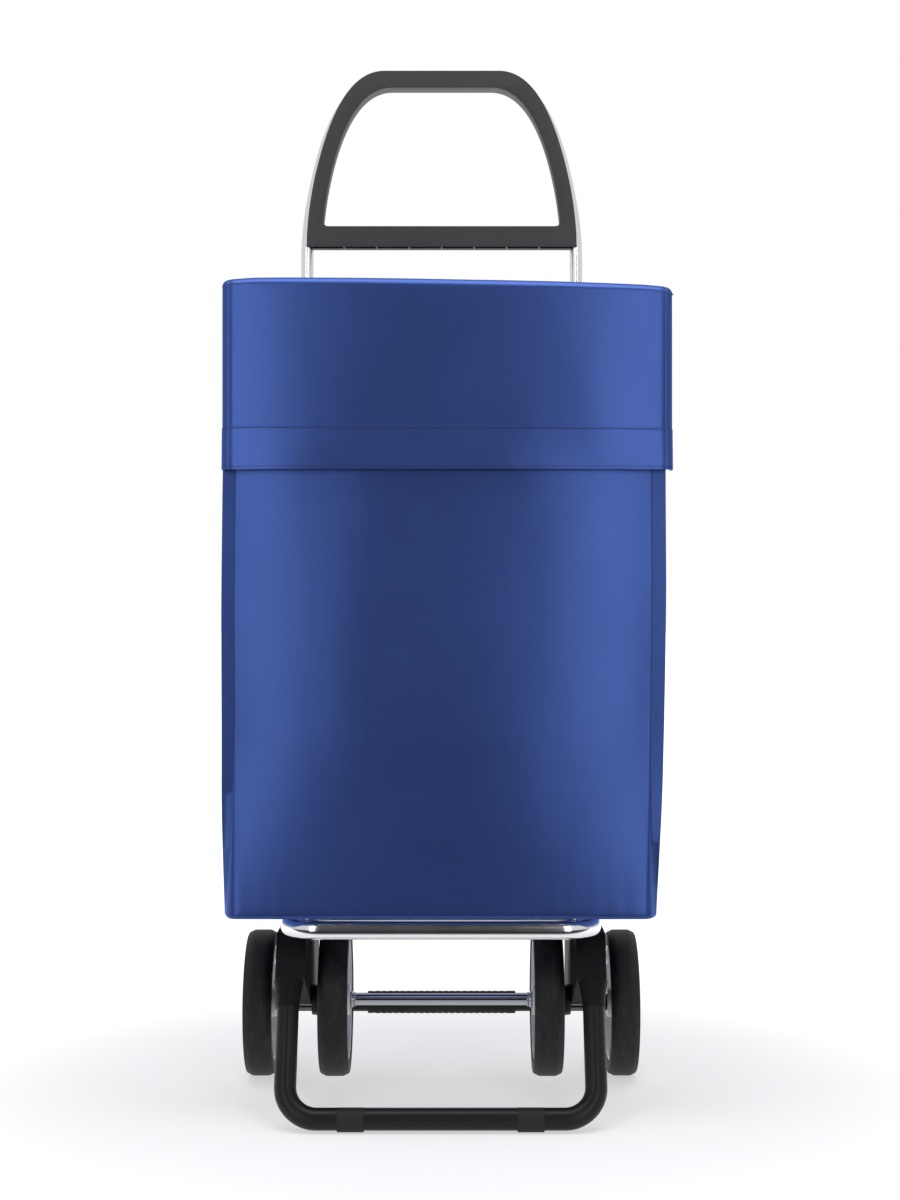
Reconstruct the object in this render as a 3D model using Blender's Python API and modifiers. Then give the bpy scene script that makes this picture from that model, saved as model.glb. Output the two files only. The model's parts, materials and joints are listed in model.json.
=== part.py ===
"""A folding shopping trolley: aluminium arch and loop platform, fabric bag with an overlapping
flap, a foot bar in front, two main wheels and a swinging carriage with two auxiliary wheels.

X runs across, -Y is the front, +Z is up. The origin is under the middle, on the floor.
"""
import bmesh
import bpy
from math import atan2, cos, pi, sin, tan
from mathutils import Matrix, Vector
from mathutils.geometry import interpolate_bezier

# Fits
GAP = 0.0003  # between two pieces that touch

# Wheels and the main axle
WHEEL_RADIUS = 0.075
WHEEL_WIDTH = 0.0288
TYRE_DEPTH = 0.0150
TREAD_ROUND = 0.0070
RIM_WEB = 0.0050
RIM_LIP = 0.0080
HUB_RADIUS = 0.0150
WINDOW_COUNT = 5
WINDOW_RADIUS = 0.0100
BUSH_WALL = 0.0020
AXLE_RADIUS = 0.0050
MAIN_AXLE_Y = 0.087
MAIN_WHEEL_X = 0.1869
AXLE_CAP_RADIUS = 0.0105
AXLE_CAP_DEPTH = 0.0040
SPACER_RADIUS = 0.0087

# Auxiliary carriage: it swings about the main axle
AUX_FORWARD = 0.090
AUX_LIFT = 0.020
AUX_WHEEL_IN = 0.0240
AUX_AXLE_RADIUS = 0.0057
TORSION_RADIUS = 0.0095
TORSION_WALL = 0.0015
TORSION_BUSH_LENGTH = 0.0140
ARM_THICKNESS = 0.0060
ARM_HEAD_RADIUS = 0.0150
COLLAR_RADIUS = 0.0080
COLLAR_WIDTH = 0.0048
PEDAL_END_ROOM = 0.0141
PEDAL_WALL = 0.0018

# Side brackets
SOCKET_SIDE = 0.0050
BRACKET_WIDTH = 0.0285
BRACKET_TOP = 0.1747
BRACKET_WALL = 0.0040
SOCKET_TOP = 0.232
TAIL_RELIEF = 0.0080
POCKET_WALL = 0.0045
NOTCH_HOOD = 0.0025

# Arch tube and the moulded handle
FRAME_X = 0.141
FRAME_Y = 0.097
FRAME_WIDTH = 0.0130
FRAME_DEPTH = 0.0180
TUBE_WALL = 0.0015
HANDLE_TOP = 1.0478
HANDLE_COVER = 0.0023
HANDLE_HEIGHT = 0.1838
HANDLE_SHOULDER_DROP = 0.1038
HANDLE_SHOULDER_IN = 0.0125
HANDLE_LEAN = 0.24
HANDLE_FLAT_HALF = 0.060
GRIP_ARM = 0.0160
GRIP_BAR = 0.0177
GRIP_THICKNESS = 0.0230
GRIP_EXPOSE = 0.0060
CROSSBAR_HEIGHT = 0.0215
CROSSBAR_OPENING_ROUND = 0.0050
SCREW_HEAD_RADIUS = 0.0040
SCREW_HEAD_HEIGHT = 0.0018
SCREW_SHANK_RADIUS = 0.0018
SCREW_LENGTH = 0.0060

# Rails between the arch tubes
BAG_RAIL_Z = 0.762
BAG_RAIL_HEIGHT = 0.0180
BAG_RAIL_DEPTH = 0.0060
LOWER_BRACE_Z = 0.262
LOWER_BRACE_RADIUS = 0.0060
LOOP_WIDTH = 0.0400
LOOP_X = 0.080
WEBBING = 0.0015

# Foot bar
FOOT_RADIUS = 0.0105
FOOT_OUT = 0.0048
FOOT_BEND = 0.030
LEG_TOP_Y = -0.074
LEG_TOP_Z = 0.1665
LEG_SOCKET_Z = 0.128
FOOT_PAD_IN = 0.0318
FOOT_PAD_LENGTH = 0.025
FOOT_PAD_WALL = 0.0012
FOOT_PAD_DEPTH = 0.0190

# Folding platform
PLATFORM_OUT = 0.0060
PLATFORM_Z = 0.184
PLATFORM_FRONT_Y = -0.130
PLATFORM_HINGE_Y = 0.040
PLATFORM_TAIL = 0.012
PLATFORM_WIDTH = 0.0130
PLATFORM_HEIGHT = 0.0176
PLATFORM_BEND = 0.033
PIN_RADIUS = 0.0030
PIN_HEAD_RADIUS = 0.0058
PIN_HEAD_HEIGHT = 0.0020
EAR_RADIUS = 0.0095
SLAT_Y = -0.050
SLAT_LENGTH_Y = 0.030
SLAT_THICKNESS = 0.0030

# Bag and flap
BAG_BOTTOM = 0.197
BAG_TOP = 0.795
BAG_HALF_BOTTOM = 0.2025
BAG_HALF_TOP = 0.2075
BAG_DEPTH = 0.223
BAG_BACK_GAP = 0.0030
BAG_WALL = 0.0030
BAG_CORNER = 0.012
BOARD_THICKNESS = 0.0040
BOARD_EDGE_GAP = 0.0060
FLAP_SIDE = 0.0030
FLAP_DROP = 0.180
FLAP_THICKNESS = 0.0026
FLAP_FRONT_GAP = 0.0024
FLAP_HINGE_IN = 0.0050
FLAP_ROUND = 0.0020
STIFFENER_THICKNESS = 0.0015
TAPE_THICKNESS = 0.0008
TAPE_HALF_LENGTH = 0.060
TAPE_HEIGHT = 0.020
TAB_WIDTH = 0.014
TAB_IN = 0.0220
STUD_RADIUS = 0.0016

# Places that follow from the sizes above
MAIN_AXLE = Vector((0, MAIN_AXLE_Y, WHEEL_RADIUS))
AUX_AXLE = Vector((0, MAIN_AXLE_Y - AUX_FORWARD, WHEEL_RADIUS + AUX_LIFT))
BRACKET_INNER_X = FRAME_X - FRAME_WIDTH / 2 - SOCKET_SIDE
BRACKET_OUTER_X = BRACKET_INNER_X + BRACKET_WIDTH
BRACKET_MID_X = BRACKET_INNER_X + BRACKET_WIDTH / 2
ARM_X = BRACKET_INNER_X - GAP - ARM_THICKNESS / 2
AUX_WHEEL_X = BRACKET_INNER_X - AUX_WHEEL_IN
PEDAL_HALF_LENGTH = AUX_WHEEL_X - WHEEL_WIDTH / 2 - PEDAL_END_ROOM
FOOT_X = FRAME_X + FOOT_OUT
FOOT_PAD_X = FOOT_X - FOOT_BEND - FOOT_PAD_IN
PLATFORM_X = FRAME_X + PLATFORM_OUT
TAB_X = PLATFORM_X - TAB_IN
FOOT_Y = -(MAIN_AXLE_Y + WHEEL_RADIUS - FOOT_RADIUS)
FOOT_Z = FOOT_PAD_WALL + GAP + FOOT_RADIUS
HANDLE_BOTTOM = HANDLE_TOP - HANDLE_HEIGHT
ARCH_TOP = HANDLE_TOP - HANDLE_COVER - FRAME_WIDTH / 2
SHOULDER_Z = HANDLE_TOP - HANDLE_SHOULDER_DROP
BAG_BACK = FRAME_Y - FRAME_DEPTH / 2 - BAG_BACK_GAP
BAG_FRONT = BAG_BACK - BAG_DEPTH
FLAP_HINGE = Vector((0, BAG_BACK - FLAP_HINGE_IN, BAG_TOP + GAP + FLAP_THICKNESS / 2))
PLATFORM_HINGE = Vector((0, PLATFORM_HINGE_Y, PLATFORM_Z))

SIDES = (("l", -1), ("r", 1))


# ---------------------------------------------------------------- basics

def clear_scene():
    for obj in list(bpy.data.objects):
        bpy.data.objects.remove(obj)
    for name in ("shopping_trolley", "cutters", "axes"):
        collection = bpy.data.collections.new(name)
        bpy.context.scene.collection.children.link(collection)
    return [bpy.data.collections[n] for n in ("shopping_trolley", "cutters", "axes")]


PARTS, CUTTERS, AXES = clear_scene()


def finish_colour(name, colour, roughness, metallic=0.0):
    material = bpy.data.materials.new(name)
    material.use_nodes = True
    shader = material.node_tree.nodes["Principled BSDF"]
    shader.inputs["Base Color"].default_value = (*colour, 1)
    shader.inputs["Roughness"].default_value = roughness
    shader.inputs["Metallic"].default_value = metallic
    return material


FINISHES = {
    "aluminium": ((0.80, 0.81, 0.82), 0.28, 1.0),
    "chrome": ((0.85, 0.85, 0.86), 0.12, 1.0),
    "zinc": ((0.62, 0.63, 0.64), 0.35, 1.0),
    "black_paint": ((0.018, 0.018, 0.020), 0.38, 0.0),
    "black_plastic": ((0.025, 0.026, 0.029), 0.50, 0.0),
    "black_rubber": ((0.022, 0.022, 0.023), 0.75, 0.0),
    "grey_plastic": ((0.62, 0.63, 0.64), 0.45, 0.0),
    "white_nylon": ((0.75, 0.75, 0.73), 0.50, 0.0),
    "blue_fabric": ((0.040, 0.072, 0.300), 0.80, 0.0),
    "black_webbing": ((0.020, 0.020, 0.022), 0.85, 0.0),
    "board": ((0.20, 0.15, 0.10), 0.80, 0.0),
}


def axis_empty(name, place):
    empty = bpy.data.objects.new(name, None)
    empty.location = place
    empty.empty_display_size = 0.02
    AXES.objects.link(empty)
    return empty


def hang(obj, empty):
    """Parent a piece to the empty on its joint's axis, without moving the piece."""
    obj.parent = empty
    obj.matrix_parent_inverse = Matrix.Translation(empty.location).inverted()
    return obj


def add_piece(name, data, finish, collection=PARTS):
    obj = bpy.data.objects.new(name, data)
    collection.objects.link(obj)
    if finish:
        data.materials.clear()
        data.materials.append(finish_colour(name, *FINISHES[finish]))
    else:
        obj.hide_render = True
        obj.display_type = "WIRE"
    return obj


def round_off(mesh):
    mesh.shade_smooth()
    mesh.set_sharp_from_angle(angle=0.6)


def mesh_piece(name, bm, finish, collection=PARTS):
    mesh = bpy.data.meshes.new(name)
    bmesh.ops.recalc_face_normals(bm, faces=bm.faces)
    bm.to_mesh(mesh)
    bm.free()
    round_off(mesh)
    return add_piece(name, mesh, finish, collection)


def box(name, low, high, finish, rounding=0.0, collection=PARTS):
    bm = bmesh.new()
    bmesh.ops.create_cube(bm, size=1)
    size = Vector(high) - Vector(low)
    bmesh.ops.scale(bm, vec=size, verts=bm.verts)
    bmesh.ops.translate(bm, vec=Vector(low) + size / 2, verts=bm.verts)
    if rounding:
        bmesh.ops.bevel(bm, geom=bm.edges, offset=rounding, segments=2, affect="EDGES", profile=0.5)
    return mesh_piece(name, bm, finish, collection)


def rod(name, start, end, radius, finish, sides=24, collection=PARTS):
    start, end = Vector(start), Vector(end)
    bm = bmesh.new()
    bmesh.ops.create_cone(bm, cap_ends=True, segments=sides, radius1=radius, radius2=radius,
                          depth=(end - start).length)
    turn = Vector((0, 0, 1)).rotation_difference(end - start).to_matrix().to_4x4()
    bmesh.ops.transform(bm, matrix=Matrix.Translation((start + end) / 2) @ turn, verts=bm.verts)
    return mesh_piece(name, bm, finish, collection)


def cutter_box(name, low, high):
    return box(name, low, high, None, collection=CUTTERS)


def cutter_rod(name, start, end, radius, sides=24):
    return rod(name, start, end, radius, None, sides, CUTTERS)


def boolean(obj, cutter, operation="DIFFERENCE"):
    modifier = obj.modifiers.new(cutter.name, "BOOLEAN")
    modifier.operation = operation
    modifier.solver = "EXACT"
    modifier.object = cutter
    return obj


def turned(name, profile, place, finish, steps=32):
    """A profile of (radius, along) points turned about the X axis at a place."""
    mesh = bpy.data.meshes.new(name)
    closed = min(r for r, _ in profile) > 1e-6
    count = len(profile)
    edges = [(i, i + 1) for i in range(count - 1)]
    if closed:
        edges.append((count - 1, 0))
    mesh.from_pydata([(r, 0, a) for r, a in profile], edges, [])
    obj = add_piece(name, mesh, finish)
    obj.location = place
    obj.rotation_euler = (0, pi / 2, 0)
    screw = obj.modifiers.new("turn", "SCREW")
    screw.axis = "Z"
    screw.angle = 2 * pi
    screw.steps = steps
    screw.render_steps = steps
    screw.use_merge_vertices = True
    screw.merge_threshold = 0.00005
    screw.use_smooth_shade = True
    return obj


def ring(name, place, inner, outer, width, finish, steps=20):
    half = width / 2
    profile = [(outer, half), (outer, -half), (inner, -half), (inner, half)]
    return turned(name, profile, place, finish, steps)


def bent_path(corners, radius, steps=5):
    """The points of a polyline whose inner corners are rounded to a radius."""
    corners = [Vector(c) for c in corners]
    path = [corners[0]]
    for before, corner, after in zip(corners, corners[1:], corners[2:]):
        towards, away = (before - corner).normalized(), (after - corner).normalized()
        half_angle = towards.angle(away) / 2
        setback = radius / tan(half_angle)
        centre = corner + (towards + away).normalized() * (radius / sin(half_angle))
        start = (corner + towards * setback - centre).normalized()
        end = (corner + away * setback - centre).normalized()
        path += [centre + start.slerp(end, i / steps) * radius for i in range(steps + 1)]
    return path + [corners[-1]]


def oval_profile(name, in_plane, across, sides):
    """A closed outline that a tube's path carries, in_plane wide and across its plane."""
    curve = bpy.data.curves.new(name, "CURVE")
    curve.dimensions = "2D"
    curve.fill_mode = "NONE"
    spline = curve.splines.new("POLY")
    spline.points.add(sides - 1)
    spline.use_cyclic_u = True
    for i, point in enumerate(spline.points):
        turn = 2 * pi * (i + 0.5) / sides
        point.co = (in_plane / 2 * cos(turn), across / 2 * sin(turn), 0, 1)
    return add_piece(name, curve, None, CUTTERS)


def path_curve(name, points):
    curve = bpy.data.curves.new(name, "CURVE")
    curve.dimensions = "3D"
    spline = curve.splines.new("POLY")
    spline.points.add(len(points) - 1)
    for point, place in zip(spline.points, points):
        point.co = (*place, 1)
    return curve


def curve_to_mesh(obj, collection):
    """Replace a curve object by the welded mesh that it makes."""
    bpy.context.view_layer.update()
    shape = obj.evaluated_get(bpy.context.evaluated_depsgraph_get())
    mesh = bpy.data.meshes.new_from_object(shape)
    bm = bmesh.new()
    bm.from_mesh(mesh)
    bmesh.ops.remove_doubles(bm, verts=bm.verts, dist=0.00002)
    bmesh.ops.recalc_face_normals(bm, faces=bm.faces)
    bm.to_mesh(mesh)
    bm.free()
    name, place = obj.name, obj.matrix_world.copy()
    bpy.data.objects.remove(obj)
    made = add_piece(name, mesh, None, collection)
    made.matrix_world = place
    return made


def show_as(obj, finish):
    obj.hide_render = False
    obj.display_type = "TEXTURED"
    obj.data.materials.clear()
    obj.data.materials.append(finish_colour(obj.name, *FINISHES[finish]))
    round_off(obj.data)
    return obj


def tube(name, points, in_plane, across, wall, finish, sides=12):
    """A bent tube with open ends and a wall of even thickness."""
    curve = path_curve(name, points)
    curve.bevel_mode = "OBJECT"
    curve.bevel_object = oval_profile(name + "_section", in_plane, across, sides)
    curve.use_fill_caps = False
    obj = show_as(curve_to_mesh(add_piece(name, curve, None, CUTTERS), PARTS), finish)
    skin = obj.modifiers.new("wall", "SOLIDIFY")
    skin.thickness = wall
    skin.offset = -1
    skin.use_even_offset = True
    return obj


def tube_cutter(name, points, in_plane, across, sides=12):
    curve = path_curve(name, points)
    curve.bevel_mode = "OBJECT"
    curve.bevel_object = oval_profile(name + "_section", in_plane, across, sides)
    curve.use_fill_caps = True
    return curve_to_mesh(add_piece(name, curve, None, CUTTERS), CUTTERS)


def flat_outline(name, outlines, thickness, collection):
    """A filled outline in its own XY plane, extruded to a thickness about that plane."""
    curve = bpy.data.curves.new(name, "CURVE")
    curve.dimensions = "2D"
    curve.fill_mode = "BOTH"
    curve.extrude = thickness / 2
    for outline in outlines:
        spline = curve.splines.new("POLY")
        spline.points.add(len(outline) - 1)
        spline.use_cyclic_u = True
        for point, (u, v) in zip(spline.points, outline):
            point.co = (u, v, 0, 1)
    return add_piece(name, curve, None, collection)


def side_plate(name, outline, x_low, x_high, finish):
    """A plate across X whose outline is given as (Y, Z) points."""
    obj = flat_outline(name, [outline], x_high - x_low, PARTS if finish else CUTTERS)
    obj.matrix_world = Matrix(((0, 0, 1, (x_low + x_high) / 2), (1, 0, 0, 0), (0, 1, 0, 0), (0, 0, 0, 1)))
    made = curve_to_mesh(obj, PARTS if finish else CUTTERS)
    return show_as(made, finish) if finish else made


def arc(centre, radius, start, end, steps):
    """Points of an arc, with its angles in turns from +Y towards +Z."""
    return [(centre[0] + radius * cos(2 * pi * (start + (end - start) * i / steps)),
             centre[1] + radius * sin(2 * pi * (start + (end - start) * i / steps)))
            for i in range(steps + 1)]


# ---------------------------------------------------------------- wheels

def wheel(name, place, empty):
    """A tyre, its spoked rim and the nylon bush that turns on the axle."""
    half = WHEEL_WIDTH / 2
    seat = WHEEL_RADIUS - TYRE_DEPTH
    tread = WHEEL_RADIUS - TREAD_ROUND
    crown = [(tread + TREAD_ROUND * sin(pi / 2 * i / 3), half - TREAD_ROUND * (1 - cos(pi / 2 * i / 3)))
             for i in range(4)]
    outside = crown + [(r, -a) for r, a in reversed(crown)]
    tyre = turned(name + "_tyre", outside + [(seat, -half), (seat, half)], place, "black_rubber")
    rim_edge = seat - GAP
    bore = AXLE_BORE[name] + BUSH_WALL + GAP
    face = half - 0.0010
    web = RIM_WEB / 2
    lip = rim_edge - RIM_LIP / 2
    rim = turned(name + "_rim", [
        (rim_edge, face), (rim_edge, -face), (lip, -face), (lip - 0.002, -web), (HUB_RADIUS + 0.002, -web),
        (HUB_RADIUS, -half), (bore, -half), (bore, half), (HUB_RADIUS, half), (HUB_RADIUS + 0.002, web),
        (lip - 0.002, web), (lip, face)], place, "grey_plastic", 24)
    middle = (lip - 0.002 + HUB_RADIUS + 0.002) / 2
    for i in range(WINDOW_COUNT):
        turn = 2 * pi * (i + 0.25) / WINDOW_COUNT
        where = Vector(place) + Vector((0, middle * cos(turn), middle * sin(turn)))
        reach = Vector((WHEEL_WIDTH, 0, 0))
        boolean(rim, cutter_rod(f"{name}_window_{i}", where - reach, where + reach, WINDOW_RADIUS, 12))
    bush_outer = AXLE_BORE[name] + BUSH_WALL
    bush = ring(name + "_bush", place, AXLE_BORE[name], bush_outer, WHEEL_WIDTH, "white_nylon", 16)
    for piece in (tyre, rim, bush):
        hang(piece, empty)


AXLE_BORE = {
    "wheel_main_l": AXLE_RADIUS + GAP, "wheel_main_r": AXLE_RADIUS + GAP,
    "wheel_aux_l": AUX_AXLE_RADIUS + GAP, "wheel_aux_r": AUX_AXLE_RADIUS + GAP,
}


def main_axle():
    wheel_inner = MAIN_WHEEL_X - WHEEL_WIDTH / 2
    wheel_outer = MAIN_WHEEL_X + WHEEL_WIDTH / 2
    end = wheel_outer + AXLE_CAP_DEPTH / 2
    rod("main_axle", (-end, *MAIN_AXLE.yz), (end, *MAIN_AXLE.yz), AXLE_RADIUS, "zinc")
    for side, sign in SIDES:
        wheel("wheel_main_" + side, (sign * MAIN_WHEEL_X, *MAIN_AXLE.yz),
              axis_empty("axis_wheel_main_" + side, (sign * MAIN_WHEEL_X, *MAIN_AXLE.yz)))
        spacer_mid = (BRACKET_OUTER_X + wheel_inner) / 2
        ring("axle_spacer_" + side, (sign * spacer_mid, *MAIN_AXLE.yz), AXLE_RADIUS + GAP, SPACER_RADIUS,
             wheel_inner - BRACKET_OUTER_X - 2 * GAP, "black_plastic")
        base = wheel_outer + GAP
        tip = base + AXLE_CAP_DEPTH
        pocket = AXLE_RADIUS + GAP
        deep = end + GAP
        profile = [(0, tip), (AXLE_CAP_RADIUS * 0.7, tip - AXLE_CAP_DEPTH * 0.15),
                   (AXLE_CAP_RADIUS, tip - AXLE_CAP_DEPTH * 0.5), (AXLE_CAP_RADIUS, base),
                   (pocket, base), (pocket, deep), (0, deep)]
        cap = turned("axle_cap_" + side, profile, (0, *MAIN_AXLE.yz), "black_plastic", 24)
        if sign < 0:
            cap.rotation_euler = (0, -pi / 2, 0)


# ---------------------------------------------------------------- auxiliary carriage

def carriage():
    empty = axis_empty("axis_carriage", MAIN_AXLE)
    torsion_end = BRACKET_INNER_X - GAP
    torsion = ring("torsion_tube", MAIN_AXLE, TORSION_RADIUS - TORSION_WALL, TORSION_RADIUS,
                   2 * torsion_end, "black_paint")
    pedal = ring("pedal_sleeve", MAIN_AXLE, TORSION_RADIUS + GAP, TORSION_RADIUS + GAP + PEDAL_WALL,
                 2 * PEDAL_HALF_LENGTH, "black_rubber")
    axle_end = BRACKET_MID_X + AUX_AXLE_RADIUS / 2
    axle = rod("aux_axle", (-axle_end, *AUX_AXLE.yz), (axle_end, *AUX_AXLE.yz), AUX_AXLE_RADIUS, "chrome")
    for piece in (torsion, pedal, axle):
        hang(piece, empty)
    for side, sign in SIDES:
        bush_x = sign * (torsion_end - TORSION_BUSH_LENGTH / 2 - GAP)
        bush = ring("torsion_bush_" + side, (bush_x, *MAIN_AXLE.yz), AXLE_RADIUS + GAP,
                    TORSION_RADIUS - TORSION_WALL - GAP, TORSION_BUSH_LENGTH, "white_nylon", 20)
        arm = side_plate("carriage_arm_" + side, arm_outline(), sign * ARM_X - ARM_THICKNESS / 2,
                         sign * ARM_X + ARM_THICKNESS / 2, "black_paint")
        reach = Vector((2 * ARM_THICKNESS, 0, 0))
        bores = (("tube", MAIN_AXLE, TORSION_RADIUS), ("axle", AUX_AXLE, AUX_AXLE_RADIUS))
        for cutter_name, centre, radius in bores:
            middle = Vector((sign * ARM_X, *centre.yz))
            bore = cutter_rod(f"arm_{cutter_name}_{side}", middle - reach, middle + reach, radius + GAP)
            boolean(arm, bore)
        collar_x = AUX_WHEEL_X - WHEEL_WIDTH / 2 - GAP - COLLAR_WIDTH / 2
        collar = ring("aux_collar_" + side, (sign * collar_x, *AUX_AXLE.yz), AUX_AXLE_RADIUS + GAP,
                      COLLAR_RADIUS, COLLAR_WIDTH, "chrome")
        for piece in (bush, arm, collar):
            hang(piece, empty)
        wheel("wheel_aux_" + side, (sign * AUX_WHEEL_X, *AUX_AXLE.yz),
              axis_empty("axis_wheel_aux_" + side, (sign * AUX_WHEEL_X, *AUX_AXLE.yz)))


def arm_outline():
    """A bar with a round head at each axle, wider at the auxiliary axle."""
    lean = atan2(AUX_LIFT, -AUX_FORWARD) / (2 * pi)
    rear = arc(MAIN_AXLE.yz, TORSION_RADIUS + GAP + BRACKET_WALL, lean - 0.75, lean - 0.25, 10)
    front = arc(AUX_AXLE.yz, ARM_HEAD_RADIUS, lean - 0.25, lean + 0.25, 10)
    return rear + front


# ---------------------------------------------------------------- side brackets

def leg_direction():
    return Vector((0, LEG_TOP_Y - FOOT_Y, LEG_TOP_Z - FOOT_Z)).normalized()


def bracket_outline():
    """The bracket from the side: leg socket in front, arch socket and axle eye behind."""
    leg = leg_direction()
    along = (LEG_SOCKET_Z - LEG_TOP_Z) / leg.z
    mouth = Vector((LEG_TOP_Y + along * leg.y, LEG_SOCKET_Z))
    across = Vector((leg.z, -leg.y)) * (FOOT_RADIUS + BRACKET_WALL)
    front_low, front_high = mouth - across, Vector((LEG_TOP_Y, LEG_TOP_Z)) - across
    reach = (BRACKET_TOP - front_high.y) / leg.z
    top_front = (front_high.x + reach * leg.y, BRACKET_TOP)
    back_low = mouth + across
    socket_front = BAG_BACK + 2 * GAP
    socket_back = FRAME_Y + FRAME_DEPTH / 2 + GAP + BRACKET_WALL
    eye = arc(MAIN_AXLE.yz, TORSION_RADIUS, 0.0, -0.25, 5)
    lip_rear = (AUX_AXLE.y + AUX_AXLE_RADIUS + BRACKET_WALL, AUX_AXLE.z - AUX_AXLE_RADIUS - BRACKET_WALL)
    lip_front = (AUX_AXLE.y - AUX_AXLE_RADIUS - BRACKET_WALL, AUX_AXLE.z - NOTCH_HOOD)
    under = (AUX_AXLE.y, lip_rear[1])
    relief = PLATFORM_HINGE_Y - PLATFORM_TAIL - EAR_RADIUS
    shelf = BRACKET_TOP - TAIL_RELIEF
    return [(front_low.x, front_low.y), top_front, (relief - TAIL_RELIEF, BRACKET_TOP), (relief, shelf),
            (socket_front, shelf), (socket_front, SOCKET_TOP),
            (socket_back, SOCKET_TOP), (socket_back, MAIN_AXLE.z + 2 * TORSION_RADIUS), *eye,
            lip_rear, under, lip_front, (back_low.x, back_low.y)]


def pocket_outlines():
    """Two lightening pockets, in front of the auxiliary axle's notch and behind it."""
    leg = leg_direction()
    shelf = BRACKET_TOP - TAIL_RELIEF - POCKET_WALL
    wall = FOOT_RADIUS + GAP + POCKET_WALL

    def behind_leg(z):
        return LEG_TOP_Y + (z - LEG_TOP_Z) / leg.z * leg.y + wall / leg.z

    rib = AUX_AXLE.y
    roof = AUX_AXLE.z + AUX_AXLE_RADIUS + 2 * POCKET_WALL
    low = LEG_SOCKET_Z + POCKET_WALL
    front = [(behind_leg(low), low), (behind_leg(shelf), shelf), (rib - POCKET_WALL / 2, shelf),
             (rib - POCKET_WALL / 2, roof)]
    back = FRAME_Y - FRAME_DEPTH / 2 - GAP - POCKET_WALL
    floor = MAIN_AXLE.z + TORSION_RADIUS + POCKET_WALL
    rear = [(rib + POCKET_WALL / 2, roof), (rib + POCKET_WALL / 2, shelf), (back, shelf),
            (back, floor + 0.01), (back - 0.01, floor)]
    return front, rear


def side_bracket(side, sign):
    low, high = sorted((sign * BRACKET_INNER_X, sign * BRACKET_OUTER_X))
    bracket = side_plate("side_bracket_" + side, bracket_outline(), low, high, "black_plastic")
    ear_low, ear_high = sorted((sign * BRACKET_INNER_X, sign * (PLATFORM_X - PLATFORM_WIDTH / 2 - GAP)))
    shelf = BRACKET_TOP - EAR_RADIUS
    ear = side_plate(f"ear_{side}", [(PLATFORM_HINGE_Y + 1.5 * EAR_RADIUS, shelf)]
                     + arc((PLATFORM_HINGE_Y, PLATFORM_Z), EAR_RADIUS, 0.0, 0.5, 10)
                     + [(PLATFORM_HINGE_Y - 1.5 * EAR_RADIUS, shelf)], ear_low, ear_high, None)
    boolean(bracket, ear, "UNION")
    pocket_x = sorted((sign * (BRACKET_INNER_X + POCKET_WALL), sign * (BRACKET_OUTER_X + POCKET_WALL)))
    for place, outline in zip(("front", "rear"), pocket_outlines()):
        boolean(bracket, side_plate(f"pocket_{place}_{side}", outline, *pocket_x, None))
    far = Vector((BRACKET_WIDTH, 0, 0))
    eye = Vector((sign * BRACKET_MID_X, *MAIN_AXLE.yz))
    boolean(bracket, cutter_rod(f"eye_{side}", eye - far, eye + far, AXLE_RADIUS + GAP))
    leg_top = Vector((sign * FOOT_X, LEG_TOP_Y, LEG_TOP_Z)) + leg_direction() * GAP
    leg_end = leg_top - leg_direction() * 0.2
    boolean(bracket, cutter_rod(f"leg_bore_{side}", leg_top, leg_end, FOOT_RADIUS + GAP))
    socket = [(sign * FRAME_X, FRAME_Y, z) for z in (frame_foot() - GAP, SOCKET_TOP + 0.01)]
    boolean(bracket, tube_cutter(f"arch_bore_{side}", socket, FRAME_WIDTH + 2 * GAP, FRAME_DEPTH + 2 * GAP))
    slack = AUX_AXLE_RADIUS + 4 * GAP
    drift = AUX_AXLE.y - AUX_LIFT / AUX_FORWARD * AUX_LIFT
    notch = arc(AUX_AXLE.yz, slack, 0.0, 0.5, 10)
    notch += [(drift - slack, AUX_AXLE.z - AUX_LIFT), (AUX_AXLE.y + slack, AUX_AXLE.z - AUX_LIFT)]
    boolean(bracket, side_plate(f"notch_{side}", notch, low - 0.01, high + 0.01, None))
    pin_at = Vector((sign * PLATFORM_X, *PLATFORM_HINGE.yz))
    boolean(bracket, cutter_rod(f"ear_bore_{side}", pin_at - far, pin_at + far, PIN_RADIUS + GAP, 16))
    return bracket


def frame_foot():
    """Height of the arch tube's lower ends, over the axle eye."""
    return MAIN_AXLE.z + AXLE_RADIUS + BRACKET_WALL + 2 * TORSION_RADIUS


def button_screw(name, face, direction, finish="zinc", head=None):
    """A button head on a face and its shank, which goes into the piece under it."""
    direction = Vector(direction)
    radius, height, shank, length = head or (
        SCREW_HEAD_RADIUS, SCREW_HEAD_HEIGHT, SCREW_SHANK_RADIUS, SCREW_LENGTH)
    obj = turned(name, [(0, height), (radius * 0.6, height), (radius, height * 0.4), (radius, GAP),
                        (shank, GAP), (shank, -length), (0, -length)], face, finish, 16)
    obj.rotation_mode = "QUATERNION"
    obj.rotation_quaternion = Vector((0, 0, 1)).rotation_difference(direction)
    return obj


# ---------------------------------------------------------------- arch and handle

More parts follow.
